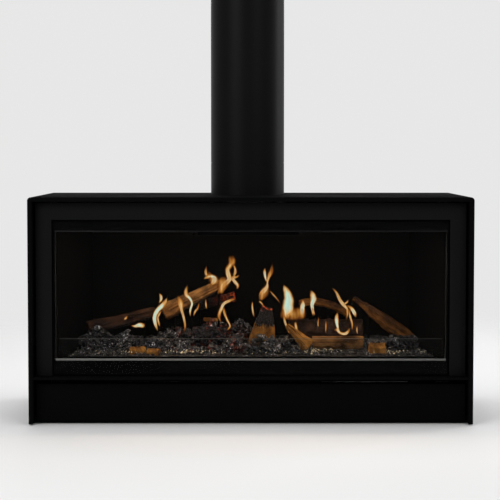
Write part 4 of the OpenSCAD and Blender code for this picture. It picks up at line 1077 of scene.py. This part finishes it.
for name, count, sizes, corners, seed, where, tones in (
        ("charcoal_lumps", 940, (6.5, 13.0), 44, 12, on_mound, (0.0, 0.68)),
        ("charcoal_grit", 2100, (1.8, 5.0), 18, 13, on_mound, (0.0, 0.86)),
        ("ember_grains", 5200, (1.2, 3.2), 12, 5, on_bed, (0, 0.96)),
        ("ember_grains_front", 2600, (1.4, 4.0), 14, 6, along_front, (0.0, 0.95)),
        ("ember_lumps", 500, (3.5, 7.5), 22, 7, on_bed, (0, 0.75)),
        ("vermiculite_flakes", 420, (1.3, 3.0), 12, 9, flakes, (0.96, 1.0)),
        ("ember_heap_left", 320, (2.5, 6.5), 20, 8, heap_left, (0.0, 0.8))):
    scatter(name, count, sizes, corners, seed, where, tones)

# %% [markdown]
# ## Flames
# The fire burns between the logs, so every tongue has its own depth in the bed. A tongue is a
# closed ribbon: a smooth curve through a few points with a width at each, and an oval section
# that is half as deep as it is wide, so it has body from the side as well. Two thin bright
# threads run in most tongues. Soft edges come from three values at each vertex: how near the
# rim, how far along, and how warm.

# %% Tongues of flame
def tongue(depth, warmth, *path):
    """A tongue with threads: its y, how bright it is, then x, z and half-width at each point."""
    return depth, warmth, path, True


def sheet(depth, warmth, *path):
    """A thin veil of flame, with no threads."""
    return depth, warmth, path, False


FLAMES = {  # in millimetres
    "a": [
        tongue(-25, 0.95, (-254, 222, 1.8), (-261, 243, 5.5), (-263, 263, 7), (-255, 281, 7.7),
               (-241, 295, 7.7), (-233, 307, 4.8), (-229, 317, 1.1)),
        tongue(-18, 0.45, (-249, 233, 1.5), (-253, 247, 3.3), (-255, 261, 3.7), (-249, 273, 2.6),
               (-244, 280, 0.7)),
        tongue(-25, 0.6, (-252, 299, 1.5), (-246, 310, 4.8), (-246, 320, 4.4), (-251, 329, 1.1))],
    "b": [
        tongue(-20, 0.55, (-183, 217, 1.5), (-180, 237, 3.3), (-184, 262, 4), (-190, 283, 5.5),
               (-193, 301, 9.9), (-197, 312, 5.9), (-201, 324, 1.5))],
    "c": [
        tongue(-20, 0.9, (-165, 261, 1.1), (-166, 279, 3.3), (-161, 299, 3.7), (-167, 313, 4.4),
               (-176, 322, 6.6), (-177, 336, 5.1), (-173, 352, 1.1))],
    "d": [
        tongue(-10, 0.35, (-158, 262, 1.1), (-153, 275, 3.3), (-145, 287, 3.3), (-142, 303, 1.1))],
    "e": [
        tongue(10, 0.3, (-122, 279, 1.1), (-124, 294, 3), (-125, 311, 0.7))],
    "f": [
        tongue(0, 0.8, (-111, 346, 1.8), (-104, 354, 7.4), (-99, 365, 7.4), (-109, 372, 5.5),
               (-121, 369, 5.2), (-131, 363, 1.1)),
        sheet(4, 0.3, (-96, 346, 5), (-98, 355, 13), (-104, 364, 15), (-112, 374, 8), (-117, 388, 3)),
        tongue(0, 0.5, (-118, 370, 5.2), (-124, 382, 4.4), (-122, 401, 1.1))],
    "g": [
        tongue(-5, 0.55, (-92, 320, 1.8), (-85, 334, 6), (-72, 351, 8.5), (-59, 364, 8), (-63, 382, 8.5),
               (-63, 394, 8.1), (-52, 409, 9.6), (-53, 421, 11.8), (-55, 431, 11)),
        sheet(-8, 0.36, (-79, 322, 4), (-80, 334, 10), (-77, 347, 16), (-73, 360, 18), (-68, 372, 10)),
        tongue(0, 0.55, (-39, 335, 1.5), (-36, 346, 5.2), (-44, 357, 5.9), (-51, 367, 5.2),
               (-39, 370, 3.7), (-30, 377, 1.1)),
        tongue(5, 0.45, (-50, 367, 4.4), (-43, 382, 4.4), (-44, 395, 3.7), (-49, 405, 3))],
    "h": [
        tongue(-30, 0.6, (-41, 313, 2.2), (-58, 308, 4.4), (-73, 300, 5.1), (-81, 285, 5.9),
               (-87, 265, 5.1), (-79, 244, 1.5)),
        tongue(-30, 0.5, (-76, 296, 2.9), (-72, 275, 4), (-65, 256, 4), (-57, 239, 2.9), (-64, 228, 2.6),
               (-73, 225, 1.1))],
    "blob": [
        tongue(-60, 0.8, (-326, 244, 1.1), (-313, 242, 4.4), (-302, 245, 7.3), (-293, 243, 7.6),
               (-288, 239, 2.9))],
    "left": [
        tongue(-20, 0.3, (-348, 254, 1.5), (-342, 259, 3.7), (-339, 266, 1.5))],
    "i": [
        tongue(-10, 0.4, (10, 258, 1.1), (6, 276, 2.9), (4, 291, 2.9), (5, 306, 0.7))],
    "j": [
        tongue(15, 0.6, (24, 303, 1.5), (28, 321, 6.7), (38, 332, 8.1), (45, 342, 5.2), (46, 355, 3),
               (50, 369, 5.6), (57, 386, 7), (60, 410, 1.5)),
        sheet(18, 0.3, (25, 302, 3), (31, 312, 10), (37, 324, 14), (42, 337, 10), (45, 351, 4)),
        tongue(15, 0.8, (45, 352, 1.9), (40, 369, 3.7), (38, 383, 4.1), (40, 395, 1.1)),
        tongue(15, 0.35, (51, 332, 1.9), (63, 319, 2.2), (73, 307, 1.9), (83, 294, 0.7)),
        tongue(10, 0.4, (22, 303, 2.2), (30, 296, 3), (38, 283, 1.1))],
    "k": [
        tongue(-20, 0.98, (99, 256, 10), (100, 272, 17.5), (102, 292, 19), (104, 312, 15.5), (99, 331, 11),
               (93, 342, 6.5), (90, 352, 1.5)),
        sheet(-18, 0.22, (80, 276, 10), (88, 274, 19), (104, 271, 21), (120, 270, 20), (136, 271, 19),
              (146, 273, 17), (153, 274, 7)),
        tongue(-20, 0.8, (141, 256, 4.4), (141, 272, 8.8), (141, 288, 8.8), (143, 301, 5.5),
               (140, 312, 1.5)),
        tongue(-25, 0.5, (90, 271, 2.2), (93, 252, 3.3), (100, 231, 3.3), (107, 214, 1.5)),
        tongue(-25, 0.5, (122, 250, 2.2), (124, 233, 4.8), (129, 219, 1.5))],
    "l": [
        tongue(5, 0.9, (172, 259, 1.1), (171, 276, 4.4), (169, 293, 6.3), (173, 308, 10), (170, 322, 8.1),
               (164, 335, 1.5)),
        tongue(0, 0.4, (176, 263, 1.1), (173, 276, 2.6), (167, 286, 1.5))],
    "m": [
        tongue(-15, 0.5, (221, 344, 1.1), (235, 328, 3.7), (244, 309, 5.5), (255, 294, 6.2),
               (264, 284, 4.4), (265, 267, 3.3), (261, 250, 1.5)),
        tongue(-15, 0.5, (255, 297, 2.2), (263, 301, 3.3), (267, 309, 1.1)),
        tongue(-15, 0.6, (264, 294, 2.9), (277, 284, 6.2), (285, 271, 5.5), (289, 259, 1.5)),
        tongue(-15, 0.5, (269, 284, 2.2), (273, 262, 3.3), (278, 243, 3.3), (278, 223, 1.5))],
    "n": [
        tongue(-30, 0.95, (241, 225, 2.2), (236, 242, 4.8), (235, 258, 6.6), (237, 279, 1.1)),
        tongue(-30, 0.6, (227, 225, 1.8), (236, 228, 4.8), (245, 219, 5.1), (258, 217, 5.1), (267, 225, 4),
               (268, 235, 1.5))],
    "thin": [
        tongue(-10, 0.25, (186, 223, 0.7), (185, 244, 2.2), (187, 263, 0.7)),
        tongue(-20, 0.35, (205, 217, 1.1), (206, 235, 2.9), (206, 253, 1.1)),
        tongue(-30, 0.5, (292, 216, 1.1), (290, 228, 2.2), (291, 239, 0.7))]}
FLAME_SIDES = 20
THINNEST = 0.4
STEPS = 7


def smooth_path(path):
    """Catmull-Rom curve through rows of x, z and half-width."""
    rows = np.array(path, float)
    rows = np.vstack([2 * rows[0] - rows[1], rows, 2 * rows[-1] - rows[-2]])
    dense = []
    for i in range(1, len(rows) - 2):
        p0, p1, p2, p3 = rows[i - 1], rows[i], rows[i + 1], rows[i + 2]
        for t in np.arange(STEPS) / STEPS:
            dense.append(0.5 * (2 * p1 + (p2 - p0) * t + (2 * p0 - 5 * p1 + 4 * p2 - p3) * t * t
                                + (3 * p1 - p0 - 3 * p2 + p3) * t ** 3))
    dense.append(rows[-2])
    return np.array(dense)


def heading(rows):
    """Direction of the curve at each row, in x and z."""
    slope = np.gradient(rows[:, :2], axis=0)
    return slope / np.maximum(np.linalg.norm(slope, axis=1), 1e-6)[:, None]


def with_threads(strand, number):
    """The tongue itself and two thin bright threads that wander from side to side in it."""
    depth, hot, path, threaded = strand
    body = smooth_path(path)
    if not threaded:
        yield depth, hot, body
        return
    along = np.linspace(0, 1, len(body))
    ahead = heading(body)
    flicker = [ripple(s * 7, number * 5.0, 1.0) for s in along]
    body[:, 2] *= 1 + 0.22 * np.array(flicker)
    yield depth, hot * 0.9, body
    for turn, share in ((0.4, 0.34), (3.4, 0.26)):
        thread = body.copy()
        wander = np.minimum(0.5 * body[:, 2], 6.0) * np.sin(turn + 4.0 * along + number)
        thread[:, 0] -= ahead[:, 1] * wander
        thread[:, 1] += ahead[:, 0] * wander
        thread[:, 2] *= share
        yield depth - 0.3 * float(body[:, 2].max()), min(1.0, hot * 0.8 + 0.25), thread


def flame_piece(name, strands):
    points, faces, rim, along, warmth = [], [], [], [], []
    threads = [thread for number, strand in enumerate(strands) for thread in with_threads(strand, number)]
    for number, (depth, hot, rows) in enumerate(threads):
        ahead = heading(rows)
        first = len(points)
        for i, (x, z, width) in enumerate(rows):
            width = max(width, THINNEST)
            sway = 3.0 * ripple(x * 0.03, z * 0.035, number * 3.0 + depth)
            for turn in turns(FLAME_SIDES):
                side = math.cos(turn) * width
                y = depth + sway + 0.55 * width * math.sin(turn)
                points.append(((x - ahead[i, 1] * side) * MM, y * MM, (z + ahead[i, 0] * side) * MM))
                rim.append(abs(math.cos(turn)))
                along.append(i / (len(rows) - 1))
                warmth.append(hot)
        last = len(points) - FLAME_SIDES
        for ring in range(first, last, FLAME_SIDES):
            faces += ring_faces(ring, ring + FLAME_SIDES, FLAME_SIDES, flipped=True)
        faces += [range(first, first + FLAME_SIDES), range(last, last + FLAME_SIDES)]
    thing = new_piece(name, points, faces, smooth_below=80)
    point_values(thing, rim=rim, along=along, warmth=warmth)
    return settle(thing, FIRE, "root", "glowing_end")


def fire_finish():
    fire = Finish("flame", Base_Color=(0, 0, 0), Roughness=1.0, Specular_IOR_Level=0.0,
                  Emission_Strength=0.96)
    rim, along, warmth = (fire.attribute(n) for n in ("rim", "along", "warmth"))
    lick = fire.cloud(fire.place((130, 20, 30)), 1.0, 3)
    inner = (1 - rim) ** 0.58
    ends_in = along.between(0.0, 0.35) * (1 - along).between(0.0, 0.5)
    body = inner * (warmth * 0.75 + 0.16) * (ends_in * 0.6 + 0.4)
    core = body + (lick.between(0.32, 0.68) - 0.5) * 0.19
    colour = fire.node("ShaderNodeValToRGB", {"stops": [
        (0.0, (0.1, 0.026, 0.004)), (0.18, (0.33, 0.098, 0.012)), (0.34, (0.62, 0.27, 0.05)),
        (0.5, (0.84, 0.53, 0.22)), (0.7, (0.55, 0.82, 0.72))]}, {"Fac": core})
    edge = (1 - rim).between(0.0, 0.6)
    tips = along.between(0.0, 0.2) * (1 - along).between(0.0, 0.28)
    fire.feed(Emission_Color=colour, Alpha=edge * tips * (warmth * 0.5 + 0.3))
    fire.material.cycles.emission_sampling = "NONE"
    return fire.material


FIRE = fire_finish()
for group, strands in FLAMES.items():
    flame_piece(f"flame_{group}_tongue", strands)
print("flames", len(FLAMES), "groups of", sum(map(len, FLAMES.values())), "tongues")

# %% [markdown]
# ## Studio
# A pale floor fades into a pale background, so there is no horizon. Soft boxes at the left, in
# front, behind and at the right draw the long soft highlights of the round flue, and a large
# one overhead lights the top of the casing. The fire adds a little warm light of its own
# inside the chamber.

# %% Floor
SPOKES = 96
RINGS = [0.9, 1.6, 2.4, 3.4, 4.6, 6.0]
points = [(0.0, 0.0, 0.0)]
faces = [(0, 1 + k, 1 + (k + 1) % SPOKES) for k in range(SPOKES)]
for ring, reach in enumerate(RINGS):
    for turn in turns(SPOKES):
        points.append((reach * math.cos(turn), reach * math.sin(turn), 0.0))
    if ring:
        faces += ring_faces(1 + (ring - 1) * SPOKES, 1 + ring * SPOKES, SPOKES)
mesh = bpy.data.meshes.new("stage_floor")
mesh.from_pydata(points, [], faces)
floor = add_object("stage_floor", mesh)
ground = Finish("stage_floor", Base_Color=(0.76, 0.76, 0.76), Roughness=0.95, Specular_IOR_Level=0.0)
spread = ground.node("ShaderNodeVectorMath", {"operation": "LENGTH"}, {0: ground.place()}, output="Value")
ground.feed(Alpha=1 - spread.between(0.95, 2.6))
mesh.materials.append(ground.material)
floor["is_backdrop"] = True
print("floor", len(mesh.polygons), "faces")

# %% [markdown]
# The background is pale only for rays that start at the camera or leave a glossy or clear
# surface. Everything else is lit by a dim, even world and by the soft boxes.

# %% Background
world = bpy.data.worlds.new("studio")
bpy.context.scene.world = world
world.use_nodes = True
net = Net(world.node_tree)
net.tree.nodes.clear()
rays = net.tree.nodes.new("ShaderNodeLightPath")
seen = Link(net, rays.outputs["Is Camera Ray"])
for kind in ("Is Transmission Ray", "Is Glossy Ray"):
    seen = net.node("ShaderNodeMath", {"operation": "MAXIMUM"}, {0: seen, 1: Link(net, rays.outputs[kind])})
dim = net.node("ShaderNodeBackground", {}, {"Color": (1, 1, 1), "Strength": 0.28})
pale = net.node("ShaderNodeBackground", {}, {"Color": (0.8, 0.8, 0.8), "Strength": 1.0})
result = net.tree.nodes.new("ShaderNodeOutputWorld")
net.join(result.inputs["Surface"], net.node("ShaderNodeMixShader", {}, {0: seen, 1: dim, 2: pale}))
print("world", len(net.tree.nodes), "nodes")


# %% Lamps
def lamp(name, kind, place, watts, **settings):
    light = bpy.data.lights.new(name, kind)
    light.energy = watts
    for key, value in settings.items():
        setattr(light, key, value)
    thing = add_object(name, light)
    thing.location = place
    return thing


def soft_box(name, place, target, size, watts, colour=(1, 1, 1)):
    """A rectangular lamp that looks at its target."""
    thing = lamp(name, "AREA", place, watts, shape="RECTANGLE", size=size[0], size_y=size[1], color=colour)
    thing.rotation_euler = (Vector(target) - Vector(place)).to_track_quat("-Z", "Y").to_euler()


soft_box("lamp_left", (-2.2, -2.9, 1.9), (0, 0, 0.6), (2.0, 2.2), 60)
soft_box("lamp_right", (3.0, 1.3, 1.7), (0, 0, 0.7), (1.2, 2.4), 34)
soft_box("lamp_front", (1.9, -3.1, 2.2), (0, 0, 0.4), (1.6, 1.6), 28)
soft_box("lamp_above", (0, 0.3, 3.4), (0, 0, 0.5), (3.0, 2.4), 75)
soft_box("lamp_back", (0, 3.0, 2.2), (0, 0, 0.6), (2.4, 1.6), 35)
soft_box("lamp_fire", (0, -0.135, 0.49), (0, -0.02, 0.2), (0.9, 0.05), 1.8, (1.0, 0.84, 0.68))
for side, place, watts in (
        ("left", (-0.24, -0.06, 0.29), 0.12), ("middle", (-0.08, -0.06, 0.36), 0.16),
        ("right", (0.1, -0.08, 0.31), 0.18), ("end", (0.26, -0.08, 0.29), 0.12)):
    lamp("glow_" + side, "POINT", place, watts, color=(1.0, 0.55, 0.22), shadow_soft_size=0.025)
print("lamps", len(bpy.data.lights))

# %% [markdown]
# The camera stands where the photographer stood: 3.6 m from the middle of the casing, a little
# above its top and tilted down by 2.6 degrees. Its picture is shifted, as a view camera's is, so that the
# object sits where it does in the photo.

# %% Camera
CAMERA_TILT = 2.597
lens = bpy.data.cameras.new("camera")
lens.lens, lens.sensor_width = 95.14, 36
lens.shift_y = -0.0733
camera = add_object("camera", lens)
camera.location = (-0.00217, -3.6258, 0.7097)
camera.rotation_euler = (math.radians(90 - CAMERA_TILT), 0, 0)
bpy.context.scene.camera = camera
bpy.context.scene.view_settings.view_transform = "Standard"
print("camera", tuple(camera.location))

# %% [markdown]
# ## Size and table
# The box is measured again with everything in place, and both boxes are printed.

# %% Finish
full_box = [list(corner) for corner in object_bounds()]
({"cad_box": [[float(v) for v in c] for c in CAD_BOX],
           "full_box": [[float(v) for v in c] for c in full_box]})
print("cad box", CAD_BOX)
print("full box", full_box)
